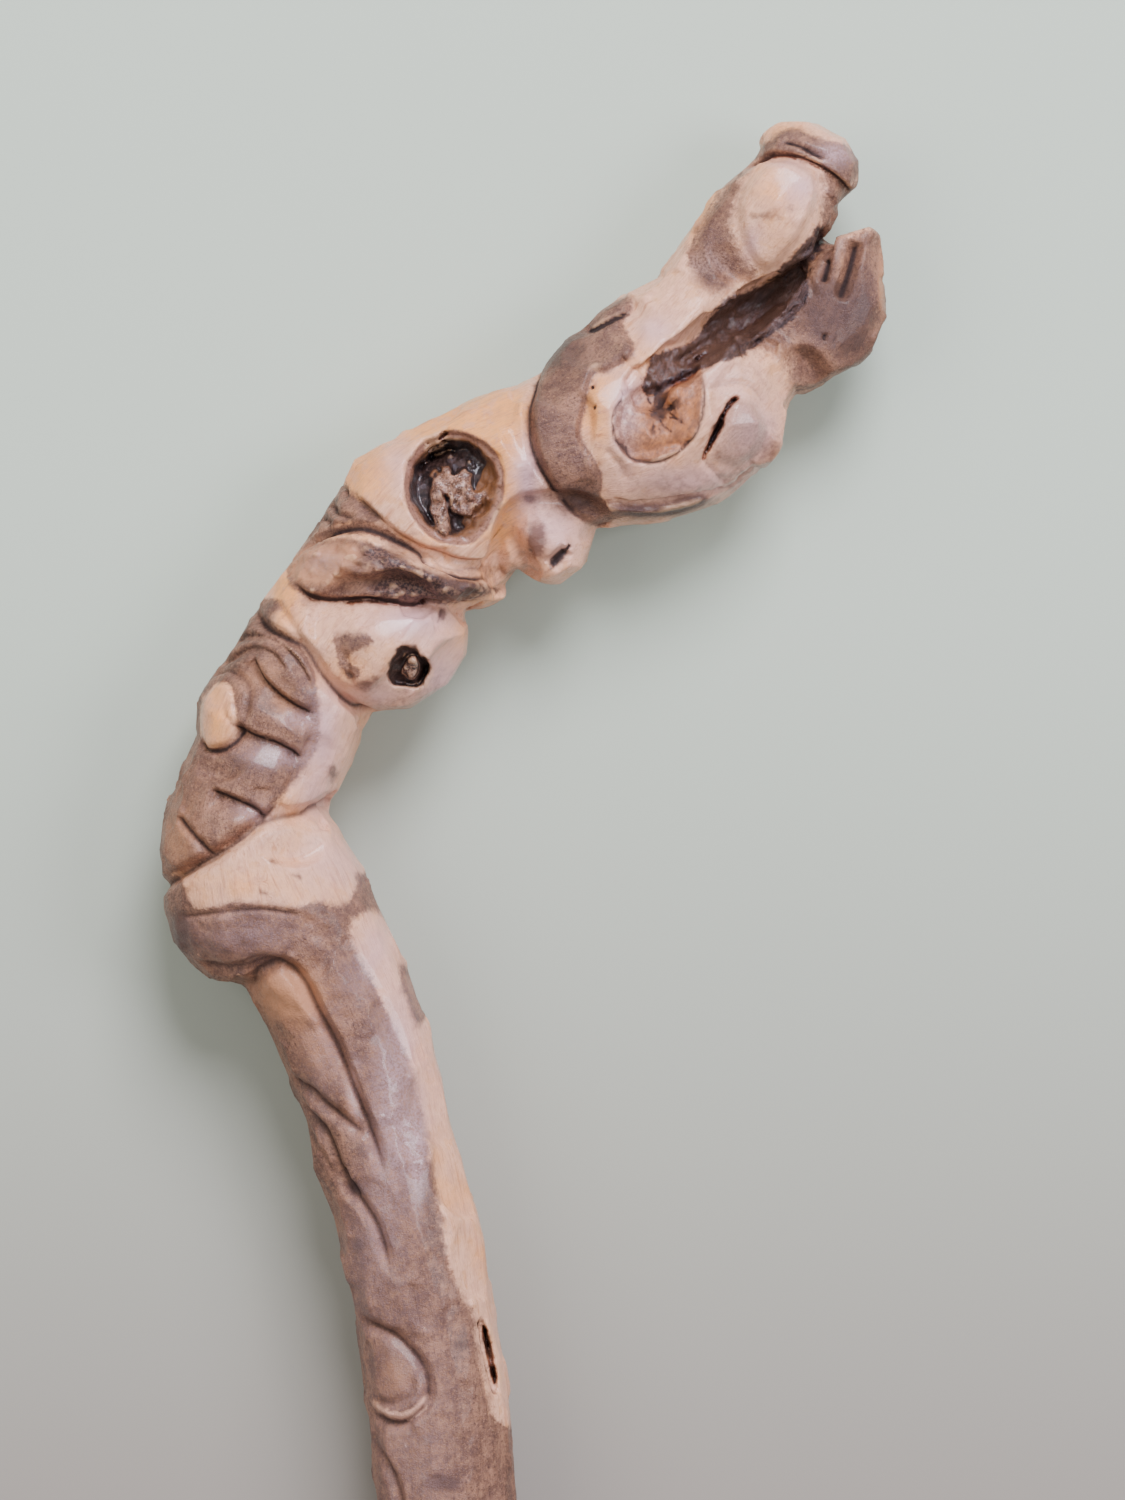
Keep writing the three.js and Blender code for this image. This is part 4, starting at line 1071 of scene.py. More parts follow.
def fibres(skin):
    """Rough bark on the leaf, the heel and the tuft."""
    x, y = skin.p[:, 0], skin.p[:, 1]
    for outline, size, amount, seed in ROUGH_BARK:
        inside = inside_by(outline, x, y, 1.0)
        rows = np.nonzero((inside > -0.5) & (np.abs(skin.f) < 3))[0]
        p = skin.p[rows]
        front = ramp(-1, 3, p[:, 2] - lift(p[:, 1]))
        noise = cloud(p, size, seed) + 0.55 * cloud(p, np.array(size) / 2.1, seed + 20)
        skin.f[rows] += amount * noise * ramp(-0.5, 1.0, inside[rows]) * front


def waves(skin):
    """Slow unevenness of a branch, wider along it than across it."""
    rows = np.nonzero(np.abs(skin.f) < 2)[0]
    skin.f[rows] += 0.22 * cloud(skin.p[rows], (9, 16, 9), 5) + 0.1 * cloud(skin.p[rows], (4, 6, 4), 6)


# The eight corners of a grid cell.
CORNERS = [(i, j, k) for i in (0, 1) for j in (0, 1) for k in (0, 1)]


def net(volume, lines):
    """Points and four-sided faces of the skin, one point for each grid cell that the skin crosses."""
    inside = volume < 0
    shape = [n - 1 for n in volume.shape]
    count = np.zeros(shape, np.uint8)
    for i, j, k in CORNERS:
        count += inside[i : i + shape[0], j : j + shape[1], k : k + shape[2]]
    cell = np.nonzero((count > 0) & (count < 8))
    ids = np.full(shape, -1, np.int32)
    ids[cell] = np.arange(len(cell[0]))
    total = np.zeros((len(cell[0]), 3))
    hits = np.zeros(len(cell[0]))
    for way in range(3):
        others = [k for k in range(3) if k != way]
        for u in (0, 1):
            for v in (0, 1):
                a = [c.copy() for c in cell]
                a[others[0]] += u
                a[others[1]] += v
                b = [c.copy() for c in a]
                b[way] += 1
                fa, fb = volume[tuple(a)].astype(float), volume[tuple(b)].astype(float)
                crossed = (fa < 0) != (fb < 0)
                t = np.where(crossed, fa / np.where(crossed, fa - fb, 1), 0)
                for k in range(3):
                    at = lines[k][a[k]]
                    if k == way:
                        at = at + t * (lines[k][b[k]] - at)
                    total[:, k] += np.where(crossed, at, 0)
                hits += crossed
    points = total / hits[:, None]
    faces = []
    for way in range(3):
        others = [k for k in range(3) if k != way]
        first = [slice(1, shape[k]) for k in range(3)]
        first[way] = slice(0, shape[way])
        second = list(first)
        second[way] = slice(1, shape[way] + 1)
        a, b = inside[tuple(first)], inside[tuple(second)]
        edge = np.nonzero(a != b)
        outward = a[edge]
        edge = [edge[k] + (0 if k == way else 1) for k in range(3)]
        ring = []
        for u, v in ((1, 1), (0, 1), (0, 0), (1, 0)):
            c = [e.copy() for e in edge]
            c[others[0]] -= u
            c[others[1]] -= v
            ring.append(ids[tuple(c)])
        quad = np.stack(ring, 1)
        if way == 1:
            outward = ~outward
        quad[~outward] = quad[~outward][:, ::-1]
        faces.append(quad)
    return points, np.concatenate(faces)


def probe(volume, lines, p):
    """The carved field at loose points."""
    index, share = [], []
    for k in range(3):
        at = np.clip(np.searchsorted(lines[k], p[:, k], side="right") - 1, 0, len(lines[k]) - 2)
        index.append(at)
        share.append(np.clip((p[:, k] - lines[k][at]) / (lines[k][at + 1] - lines[k][at]), 0, 1))
    total = np.zeros(len(p))
    for i, j, k in CORNERS:
        weight = (share[0] if i else 1 - share[0]) * (share[1] if j else 1 - share[1])
        weight = weight * (share[2] if k else 1 - share[2])
        total += weight * volume[index[0] + i, index[1] + j, index[2] + k]
    return total


def store(mesh, name, values, kind="FLOAT"):
    """Keeps one value for each point of a mesh under a name that the finish reads."""
    if name in mesh.attributes:
        mesh.attributes.remove(mesh.attributes[name])
    layer = mesh.attributes.new(name, kind, "POINT")
    layer.data.foreach_set("value" if kind == "FLOAT" else "vector", np.asarray(values, np.float32).ravel())


def drawing_points(mesh):
    """The mesh's points in the drawing's millimetres."""
    co = np.empty(len(mesh.vertices) * 3)
    mesh.vertices.foreach_get("co", co)
    return co.reshape(-1, 3) * MM - np.array([SHIFT_X, SHIFT_Y, 0.0])


def bark_depth(p):
    """How far inside the bark a point lies, in millimetres; negative on bare wood."""
    x, y = p[:, 0], p[:, 1]
    bark = np.max([crisp * inside_by(o, x, y) for o, crisp in BARK_OUTLINES], axis=0)
    bark = np.where(y < ALL_BARK_BELOW, ALL_BARK_DEPTH, bark)
    for outline, crisp in BARE_OUTLINES:
        bark = np.minimum(bark, -crisp * inside_by(outline, x, y))
    return np.maximum(bark, inside_by(STREAK_BARK, x, y))


# Half width of the painted shade in the corner of a stepped cut, in millimetres.
CORNER_SHADE = 0.42


def shade_lines(p, traces):
    """Painted shade along the cuts, from 0 to 1; in a stepped cut it lies in the corner, under the steep wall.
    """
    ink = np.zeros(len(p))
    for trace in traces:
        low, high = trace.box(trace.cut.wide)
        near = np.nonzero(((p > low) & (p < high)).all(1))[0]
        if not near.size or not trace.cut.ink:
            continue
        across, past, proud, i = trace.beside(p[near])
        ledge = trace.cut.shape in STEPPED
        width = CORNER_SHADE if ledge else 0.13 * trace.cut.wide + 0.25
        centre = 0.06 * trace.cut.wide if ledge else 0.0
        dark = np.exp(-(((across - centre) / width) ** 2)) * np.exp(-((past / width) ** 2))
        dark *= trace.fade[i] ** 0.5 * (np.abs(proud) < trace.cut.deep + 3)
        ink[near] = np.maximum(ink[near], trace.cut.ink * dark)
    return ink


# How far from the skin the carved field is asked, outwards or, below 0, inwards. The first two tell
# how closed in a place is near by and farther off, and the last how sharp an edge it stands on; the
# finish paints shade where a place is closed in and a highlight on sharp edges.
SHADES = {"hollow": 1.4, "deep": 4.0, "ridge": -1.2}

# Each limb that has its own grain, and how much of its length the grain has run along when the
# next one takes over. The lower prong gives way to the others where they are as near.
GRAIN_SHARES = {"shaft": 0.98, "torso": 0.97, "prong": 0.97, "ear": 0.97}
EAR_GIVES_WAY = 3.0


def grain_place(body, p):
    """Place across and along the branch, so that the grain follows its bends."""
    best = np.full(len(p), 1e9)
    place = np.zeros((len(p), 3))
    order = np.argsort(p[:, 1], kind="stable")
    start = 0.0
    for name, share in GRAIN_SHARES.items():
        limb = body.limbs[name]
        reach = np.concatenate([[0], np.cumsum(np.hypot(np.diff(limb.x), np.diff(limb.y)))])
        for a in range(0, len(order), 2000):
            rows = order[a : a + 2000]
            found = limb.nearest(p[rows, 0], p[rows, 1])
            if found is None:
                continue
            i, beside, along = found
            away = np.hypot(beside, np.where((i == 0) | (i == len(limb.x) - 1), along, 0))
            if name == "ear":
                away += EAR_GIVES_WAY
            better = away < best[rows]
            rows = rows[better]
            best[rows] = away[better]
            place[rows, 0] = beside[better]
            place[rows, 1] = start + (reach[i] + along)[better]
            place[rows, 2] = p[rows, 2]
        start += reach[-1] * share
    return place


def mark_surface(mesh, body, volume, lines, traces):
    """Stores what the finish needs at each point of the carved mesh."""
    p = drawing_points(mesh)
    x, y = p[:, 0], p[:, 1]
    height = p[:, 2] - lift(y)
    lumps, grit = hole_noise(x, y)
    store(mesh, "bark", bark_depth(p))
    store(mesh, "grain", grain_place(body, p), "FLOAT_VECTOR")

    # Painted shade in the cuts, in the folds of the spiral hollow and in the slit of the crown.
    front = ramp(-10, -7, height)
    folds = 0.9 * fold_lines(x, y) * ramp(-1, 2, inside_by(SPIRAL_STAIN, x, y) + 0.6) * front
    slit = ramp(-0.5, 0.3, inside_by(TOP_SLIT, x, y))
    store(mesh, "ink", np.max([shade_lines(p, traces), folds, slit], axis=0))

    # Stains, and the painted shade of the crevice, the slits and the knot holes, which stay on the front.
    over = 8 * front - 4
    for name, outlines in STAIN_OUTLINES.items():
        store(mesh, name, np.minimum(np.max([inside_by(o, x, y) for o in outlines], axis=0), over))
    ring, middle = belly_hole(x, y, lumps, grit)
    _, neck_black, raised = neck_hole(x, y, lumps, grit)
    small_core = ramp(1.15, 0.8, middle)
    store(mesh, "core", np.maximum(raised, small_core))
    # Painted black shade in the neck's and belly's knot holes, the crown's slit and the nub's slot.
    black_shade = [
        neck_black,
        np.minimum(6 * (1.04 - ring), 5 * (0.5 - small_core)),
        inside_by(SLIT_STAIN, x, y) - 0.4,
        inside_by(NUB_SLOT, x, y),
    ]
    store(mesh, "black_shade", np.minimum(np.max(black_shade, axis=0), over))

    # Soft patches: tone with stains, painted light and painted shade; painted lilac sheen; and orange wood.
    seen = ramp(-6, 2, height)
    bare = ramp(1.5, -0.5, np.maximum(inside_by(COLLAR, x, y), inside_by(EAR_BARK, x, y)))
    store(mesh, "tone", soft_patches(TONES, x, y) * seen)
    store(mesh, "painted_sheen", np.clip(soft_patches(SHEEN_PATCHES, x, y), 0, 1.3) * seen * bare)
    store(mesh, "peach", soft_patches(PEACHES, x, y))

    # Hollows and edges.
    normal = np.empty(len(mesh.vertices) * 3)
    mesh.vertices.foreach_get("normal", normal)
    normal = normal.reshape(-1, 3)
    for name, away in SHADES.items():
        store(mesh, name, np.clip(1 - probe(volume, lines, p + away * normal) / away, 0, 1))


def plain_mesh(name, points, faces):
    """A mesh from arrays of points and four-sided faces, in metres in the frame."""
    mesh = bpy.data.meshes.new(name)
    mesh.vertices.add(len(points))
    mesh.vertices.foreach_set("co", points.astype(np.float32).ravel())
    mesh.loops.add(faces.size)
    mesh.loops.foreach_set("vertex_index", faces.astype(np.int32).ravel())
    mesh.polygons.add(len(faces))
    mesh.polygons.foreach_set("loop_start", np.arange(0, faces.size, 4, dtype=np.int32))
    mesh.update(calc_edges=True)
    mesh.validate()
    return mesh


def link(name, data):
    """A new object in the scene."""
    thing = bpy.data.objects.new(name, data)
    bpy.context.scene.collection.objects.link(thing)
    return thing


def baked(thing, name):
    """The evaluated object as a plain mesh, with its modifiers removed."""
    graph = bpy.context.evaluated_depsgraph_get()
    mesh = bpy.data.meshes.new_from_object(thing.evaluated_get(graph))
    thing.modifiers.clear()
    old = thing.data
    thing.data = mesh
    bpy.data.meshes.remove(old)
    mesh.name = name
    return mesh


class Wiring:
    """Adds and joins nodes of one tree."""

    def __init__(self, tree):
        self.tree = tree

    def add(self, kind, inputs=None, **settings):
        node = self.tree.nodes.new(kind)
        for key, value in settings.items():
            setattr(node, key, value)
        for key, value in (inputs or {}).items():
            if isinstance(value, bpy.types.NodeSocket):
                self.tree.links.new(value, node.inputs[key])
            else:
                node.inputs[key].default_value = value
        return node

    def math(self, operation, a, b):
        return self.add("ShaderNodeMath", {0: a, 1: b}, operation=operation).outputs[0]

    def plus(self, first, *others):
        for other in others:
            first = self.math("ADD", first, other)
        return first

    def minus(self, a, b):
        return self.math("SUBTRACT", a, b)

    def times(self, a, b):
        return self.math("MULTIPLY", a, b)

    def most(self, a, b):
        return self.math("MAXIMUM", a, b)

    def vector(self, operation, a, b):
        second = "Scale" if operation == "SCALE" else 1
        return self.add("ShaderNodeVectorMath", {0: a, second: b}, operation=operation).outputs[0]

    def ramp(self, value, low, high, start=0.0, stop=1.0):
        """From start to stop while the value goes from low to high."""
        node = self.add(
            "ShaderNodeMapRange",
            {0: value, 1: low, 2: high, 3: start, 4: stop},
            interpolation_type="SMOOTHSTEP",
        )
        return node.outputs[0]

    def mix(self, share, a, b, blend="MIX"):
        """Colour b over colour a."""
        node = self.add("ShaderNodeMix", {0: share, 6: a, 7: b}, data_type="RGBA", blend_type=blend)
        return node.outputs[2]

    def noise(self, place, scale, detail=2.0, rough=0.5):
        node = self.add(
            "ShaderNodeTexNoise", {"Vector": place, "Scale": scale, "Detail": detail, "Roughness": rough}
        )
        return node.outputs[0]

    def attribute(self, name, output="Fac"):
        return self.add("ShaderNodeAttribute", attribute_name=name).outputs[output]


def named_tree(name, kind, inputs, outputs):
    """A tree with named sockets, as its wiring, its inputs and the sockets that take its outputs."""
    tree = bpy.data.node_groups.new(name, kind)
    for way, sockets in (("INPUT", inputs), ("OUTPUT", outputs)):
        for label, (socket, value) in sockets.items():
            made = tree.interface.new_socket(label, in_out=way, socket_type="NodeSocket" + socket)
            if value is not None:
                made.default_value = value
    w = Wiring(tree)
    return w, w.add("NodeGroupInput").outputs, w.add("NodeGroupOutput").inputs


RELIEF_INPUTS = {
    "Geometry": ("Geometry", None),
    "Bark depth": ("Float", 0.00022),
    "Bark grain": ("Float", 420.0),
    "Pit depth": ("Float", 0.0002),
    "Knife depth": ("Float", 0.0002),
    "Knife grain": ("Float", 300.0),
    "Seed": ("Int", 3),
    "Finish": ("Material", None),
}


def relief_tree():
    """Geometry nodes that raise the fine relief of bark and knife marks over the carved skin."""
    w, given, result = named_tree(
        "Bark and knife relief", "GeometryNodeTree", RELIEF_INPUTS, {"Geometry": ("Geometry", None)}
    )
    bark, fine = (
        w.add("GeometryNodeInputNamedAttribute", {"Name": name}, data_type="FLOAT").outputs[0]
        for name in ("bark", "fine")
    )
    place = w.add("GeometryNodeInputPosition").outputs[0]
    seed = w.add("ShaderNodeCombineXYZ", {0: given["Seed"]}).outputs[0]
    place = w.vector("ADD", place, seed)
    coarse = w.noise(place, given["Bark grain"], 2.0, 0.6)
    pits = w.noise(place, w.times(given["Bark grain"], 0.45), 1.0)
    rise = w.times(w.minus(coarse, 0.5), given["Bark depth"])
    pit = w.times(w.ramp(pits, 0.6, 0.75), given["Pit depth"])
    rise = w.times(w.minus(rise, pit), w.times(w.ramp(bark, -0.5, 0.8), fine))
    strokes = w.noise(place, given["Knife grain"], 1.5, 0.6)
    strokes = w.times(w.minus(strokes, 0.5), given["Knife depth"])
    rise = w.plus(rise, w.times(strokes, fine))
    offset = w.vector("SCALE", w.add("GeometryNodeInputNormal").outputs[0], rise)
    moved = w.add("GeometryNodeSetPosition", {"Geometry": given["Geometry"], "Offset": offset})
    real = w.add("GeometryNodeRealizeInstances", {"Geometry": moved.outputs[0]})
    done = w.add("GeometryNodeSetMaterial", {"Geometry": real.outputs[0], "Material": given["Finish"]})
    w.tree.links.new(done.outputs[0], result[0])
    return w.tree


def set_input(modifier, name, value):
    """Sets a named input of a Geometry Nodes modifier."""
    for item in modifier.node_group.interface.items_tree:
        if item.item_type == "SOCKET" and item.in_out == "INPUT" and item.name == name:
            modifier[item.identifier] = value
            return
    raise KeyError(name)


def srgb(red, green, blue):
    """A picture colour from 0 to 255 as the plain light values that the shader wants."""
    line = [v / 255 for v in (red, green, blue)]
    return tuple(v / 12.92 if v <= 0.04045 else ((v + 0.055) / 1.055) ** 2.4 for v in line) + (1.0,)


def streak_group():
    """Wood grain as streaks drawn out along the branch."""
    inputs = {"Place": ("Vector", None), "Across": ("Float", 1.0), "Along": ("Float", 0.08)}
    w, given, result = named_tree("Wood streaks", "ShaderNodeTree", inputs, {"Streak": ("Float", None)})
    size = w.add("ShaderNodeCombineXYZ", {0: given["Across"], 1: given["Along"], 2: given["Across"]})
    place = w.vector("MULTIPLY", given["Place"], size.outputs[0])
    wobble = w.add("ShaderNodeCombineXYZ", {0: w.noise(place, 0.35, 1.0)})
    fine = w.noise(w.vector("ADD", place, wobble.outputs[0]), 1.0, 4.0, 0.62)
    w.tree.links.new(w.minus(fine, 0.5), result[0])
    return w.tree


def new_material(name):
    """An empty material, and its wiring."""
    material = bpy.data.materials.new(name)
    material.use_nodes = True
    material.node_tree.nodes.clear()
    return material, Wiring(material.node_tree)


def close_material(w, values):
    """Ends a material in one Principled shader with these values."""
    shader = w.add("ShaderNodeBsdfPrincipled", values)
    w.add("ShaderNodeOutputMaterial", {"Surface": shader.outputs[0]})


# Patterns of the wood. A noise has its scale in each millimetre, its detail and its roughness; a
# streak has how fine it is across the grain and along it.
NOISES = {
    "broad": (0.05, 2.0, 0.5),
    "patchy": (0.16, 3.0, 0.6),
    "blotch": (0.3, 3.0, 0.6),
    "mottled": (0.5, 4.0, 0.65),
    "speckle": (1.5, 3.0, 0.6),
    "fine speckle": (3.2, 2.0, 0.5),
}
STREAKS = {
    "sap grain": (0.9, 0.05),
    "brush": (2.6, 0.22),
    "fine grain": (4.2, 0.3),
    "bark bands": (0.6, 0.07),
    "bark streaks": (1.6, 0.2),
    "bark threads": (2.6, 0.3),
    "fold streaks": (1.8, 0.3),
    "crack bands": (1.6, 0.12),
    "crack threads": (3.4, 0.3),
}

# Layers of colour, from the lowest up: the pattern, its values where the layer starts and where it
# is strongest, how strong it is there, and its colour from 0 to 255.
SAP_LAYERS = [
    ("sap grain", 0.0, 0.24, 0.75, (180, 114, 76)),
    ("fine grain", 0.02, 0.2, 0.4, (176, 120, 92)),
    ("fine grain", -0.04, -0.2, 0.4, (236, 180, 136)),
    ("blotch", 0.52, 0.62, 0.45, (206, 150, 126)),
    ("blotch", 0.44, 0.36, 0.4, (214, 148, 92)),
    ("brush", 0.04, 0.18, 0.5, (164, 112, 86)),
    ("patchy", 0.5, 0.72, 0.35, (190, 132, 98)),
    ("mottled", 0.6, 0.72, 0.25, (170, 112, 82)),
]
BARK_LAYERS = [
    ("bark bands", -0.05, 0.25, 0.6, (84, 54, 40)),
    ("bark streaks", 0.02, 0.22, 0.5, (70, 46, 36)),
    ("mottled", 0.52, 0.64, 0.55, (88, 60, 48)),
    ("mottled", 0.46, 0.36, 0.35, (170, 126, 98)),
    ("bark threads", 0.07, 0.17, 0.6, (66, 44, 38)),
    ("speckle", 0.55, 0.68, 0.65, (64, 42, 34)),
    ("speckle", 0.43, 0.32, 0.5, (172, 122, 92)),
    ("fine speckle", 0.6, 0.7, 0.45, (176, 134, 108)),
    ("bark rim", 0.0, 1.0, 0.2, (96, 64, 46)),
    # Lighter and darker by the tone patches: stains, painted light and painted shade.
    ("tone", 0.1, 1.2, 0.85, (188, 130, 94)),
    ("tone", -0.15, -1.0, 0.75, (62, 42, 36)),
]

# How the edge of each stain and painted shade wanders in millimetres, and where it starts and is full.
STAIN_EDGES = {
    "grey": (1.6, -0.5, 1.6),
    "warm": (1.5, -0.2, 0.8),
    "knot": (1.0, -0.2, 0.5),
    "crack_wood_and_shade": (2.4, -0.2, 1.0),
    "char": (3.0, -0.6, 1.6),
    "black_shade": (1.6, -0.3, 0.9),
}
# The colours of each stain and painted shade: the pattern that parts two main ones, its values where
# the first ends and the second is full, and both; then the layers over them.
STAIN_TONES = {
    "grey": [("speckle", 0.4, 0.65, (152, 116, 104), (96, 70, 60))],
    "warm": [("mottled", 0.35, 0.65, (172, 106, 62), (124, 76, 50))],
    # The spiral stain under the painted lilac sheen.
    "warm sheen": [("mottled", 0.4, 0.6, (190, 146, 134), (138, 98, 88))],
    "knot": [
        ("knot depth", 1.2, 2.6, (140, 98, 84), (104, 66, 40)), ("speckle", 0.5, 0.64, 0.7, (60, 38, 28)),
    ],
    "core": [
        ("mottled", 0.42, 0.56, (160, 118, 100), (74, 50, 44)),
        ("speckle", 0.5, 0.6, 0.8, (44, 30, 28)),
        ("fine speckle", 0.42, 0.34, 0.6, (214, 184, 172)),
    ],
    # The crevice and the slits: dark torn wood with painted shade.
    "crack_wood_and_shade": [
        ("crack bands", -0.1, 0.16, (20, 12, 11), (62, 40, 34)), ("crack threads", 0.02, 0.2, 0.7, (92, 66, 64)),
    ],
    "char": [("speckle", 0.42, 0.6, (46, 30, 28), (112, 80, 68))],
    # Painted black shade in the slits and the knot holes.
    "black_shade": [
        ("mottled", 0.45, 0.65, (20, 14, 15), (60, 43, 40)), ("fine speckle", 0.58, 0.7, 1.0, (96, 76, 72)),
    ],
}
FOLD_LAYERS = [("fold streaks", 0.02, 0.2, 0.6, (92, 58, 44))]

# Painted lilac sheen on the bark.
BARK_SHEEN = (178, 142, 146)
# Painted lilac sheen on the bare wood.
SAP_SHEEN = (204, 160, 164)
# Darker bare wood: stains and painted shade.
SAP_STAIN_AND_SHADE = (104, 68, 50)
# The same stains and painted shade where the lilac sheen is painted.
SHEEN_STAIN_AND_SHADE = (112, 80, 78)
# Painted shade in the deep middle of the spiral hollow.
DEEP_FOLD_SHADE = (84, 48, 34)
# Painted shade in the hollows, multiplied over the colour.
HOLLOW_SHADE = (150, 104, 80)
# Painted shade in the cuts, the spiral's folds and the crown's slit.
CUT_SHADE = (34, 22, 18)
# Light wood on worn edges, partly a painted highlight on the ridges.
WORN_EDGE_AND_HIGHLIGHT = (226, 176, 138)

# How much each pattern stands up on bare wood.
SAP_RELIEF = {"sap grain": 0.3, "fine speckle": 0.1, "brush": 0.5, "fine grain": 0.4, "blotch": 0.9}


class Wood(Wiring):
    """Wiring of the wood's finish, with its patterns and masks by name."""

    def __init__(self, tree):
        super().__init__(tree)
        place = self.vector("SCALE", self.add("ShaderNodeTexCoord").outputs["Object"], MM)
        grain = self.attribute("grain", "Vector")
        self.at = {name: self.noise(place, *values) for name, values in NOISES.items()}
        streaks = streak_group()
        for name, (across, along) in STREAKS.items():
            node = self.add("ShaderNodeGroup", node_tree=streaks)
            self.tree.links.new(grain, node.inputs["Place"])
            node.inputs["Across"].default_value = across
            node.inputs["Along"].default_value = along
            self.at[name] = node.outputs[0]
        for name in ("painted_sheen", "ink", "hollow", "deep", "ridge", "core"):
            self.at[name] = self.attribute(name)
        swing = self.times(self.minus(self.at["mottled"], 0.5), 1.4)
        self.at["tone"] = self.plus(self.attribute("tone"), swing)
        self.at["knot depth"] = self.attribute("knot")
        self.frayed = self.minus(self.plus(self.at["mottled"], self.times(self.at["patchy"], 0.9)), 0.95)

    def layered(self, colour, layers):
        """Lays colours over one another."""
        for name, start, full, most, paint in layers:
            colour = self.mix(self.ramp(self.at[name], start, full, 0.0, most), colour, srgb(*paint))
        return colour

    def stain_tone(self, name):
        (pattern, start, full, first, second), *layers = STAIN_TONES[name]
        colour = self.mix(self.ramp(self.at[pattern], start, full), srgb(*first), srgb(*second))
        return self.layered(colour, layers)

    def bark_cover(self):
        """Where the bark is left, from 0 to 1; its edge is frayed, and soft in places."""
        fray = self.minus(self.plus(self.at["speckle"], self.at["mottled"]), 1.0)
        edge = self.plus(self.attribute("bark"), self.times(self.frayed, 1.1), self.times(fray, 0.7))
        self.at["bark rim"] = self.times(self.ramp(edge, 1.6, 0.3), self.ramp(edge, -0.2, 0.2))
        softness = self.ramp(self.at["patchy"], 0.35, 0.7, 0.45, 1.7)
        return self.ramp(self.math("DIVIDE", edge, softness), -0.7, 0.8)

    def bare_wood(self, look):
        """Sapwood, orange tan to pink, with faint grain; with a painted lilac sheen, and stains and painted
        shade, in places.
        """
        swing = self.times(self.minus(self.at["broad"], 0.5), 2.4)
        peach = self.plus(self.attribute("peach"), swing)
        sap = self.mix(self.ramp(peach, 0.0, 0.9), srgb(*look.sap_pink), srgb(*look.sap_warm))
        sap = self.layered(sap, SAP_LAYERS)
        # Painted lilac sheen.
        sap = self.mix(self.times(self.at["painted_sheen"], 0.8), sap, srgb(*SAP_SHEEN))
        # Stains and painted shade, and their colour where the sheen is painted.
        stain_and_shade = self.mix(self.at["painted_sheen"], srgb(*SAP_STAIN_AND_SHADE), srgb(*SHEEN_STAIN_AND_SHADE))
        return self.mix(self.ramp(self.at["tone"], -0.1, -1.1, 0.0, 0.9), sap, stain_and_shade)

    def inner_bark(self, look):
        """Brown bark with dark and light flecks, and a painted lilac sheen in places."""
        dark = self.ramp(self.at["patchy"], 0.32, 0.66)
        brown = self.mix(dark, srgb(*look.bark_light), srgb(*look.bark_dark))
        brown = self.layered(brown, BARK_LAYERS)
        # Painted lilac sheen, broken by speckles.
        sheen = self.times(self.at["painted_sheen"], self.ramp(self.at["speckle"], 0.35, 0.6, 0.25, 0.75))
        return self.mix(sheen, brown, srgb(*BARK_SHEEN))

    def stained(self, colour, mask):
        """Stains of the knot holes, the spiral hollow, the crevice and the leaf, with painted shade in the
        crevice, the slits, the spiral's deep middle and the holes' black rings.
        """
        core = self.at["core"]
        # The spiral stain, lighter and lilac where the sheen is painted.
        sheen_fold = self.mix(self.at["painted_sheen"], self.stain_tone("warm"), self.stain_tone("warm sheen"))
        core_tone = self.stain_tone("core")
        core_edge = self.ramp(self.plus(core, self.times(self.frayed, 0.5)), 0.25, 0.75)
        bare_core = self.times(self.minus(1.0, mask["knot"]), self.ramp(core, 0.4, 0.8))
        for share, tone in (
            (self.times(mask["grey"], 0.5), self.stain_tone("grey")),
            (self.times(mask["warm"], 0.9), self.layered(sheen_fold, FOLD_LAYERS)),
            # Painted shade where the spiral hollow is deep.
            (self.times(mask["warm"], self.ramp(self.at["deep"], 0.45, 0.9)), srgb(*DEEP_FOLD_SHADE)),
            (self.times(mask["knot"], 0.92), self.mix(core_edge, self.stain_tone("knot"), core_tone)),
            # Dark torn wood with painted shade in the crevice and the slits.
            (self.times(mask["crack_wood_and_shade"], 0.92), self.stain_tone("crack_wood_and_shade")),
            (self.times(mask["char"], 0.85), self.stain_tone("char")),
            (bare_core, core_tone),
            # Painted black shade in the slits and the knot holes.
            (self.times(mask["black_shade"], 0.96), self.stain_tone("black_shade")),
        ):
            colour = self.mix(share, colour, tone)
        return colour

    def painted_shade_and_wear(self, colour, mask):
        """Painted shade in the hollows and cuts, and light wood on worn edges that is partly a painted
        highlight.
        """
        # Painted shade where the skin is closed in.
        shade = self.ramp(self.at["hollow"], 0.1, 0.7, 0.0, 0.75)
        colour = self.mix(shade, colour, srgb(*HOLLOW_SHADE), "MULTIPLY")
        # Painted shade along the cuts.
        colour = self.mix(self.ramp(self.at["ink"], 0.08, 0.85, 0.0, 0.95), colour, srgb(*CUT_SHADE))
        clean = self.minus(1.0, self.most(mask["crack_wood_and_shade"], mask["warm"]))
        # Light on sharp ridges: wear, with a painted highlight.
        edge = self.ramp(self.at["ridge"], 0.14, 0.5, 0.0, 0.4)
        return self.mix(self.times(edge, clean), colour, srgb(*WORN_EDGE_AND_HIGHLIGHT))

    def roughness(self, bark, gloss):
        base = self.ramp(self.at["speckle"], 0.3, 0.7, gloss, gloss + 0.14)
        return self.plus(base, self.times(bark, 0.14), self.times(self.at["ink"], 0.4))

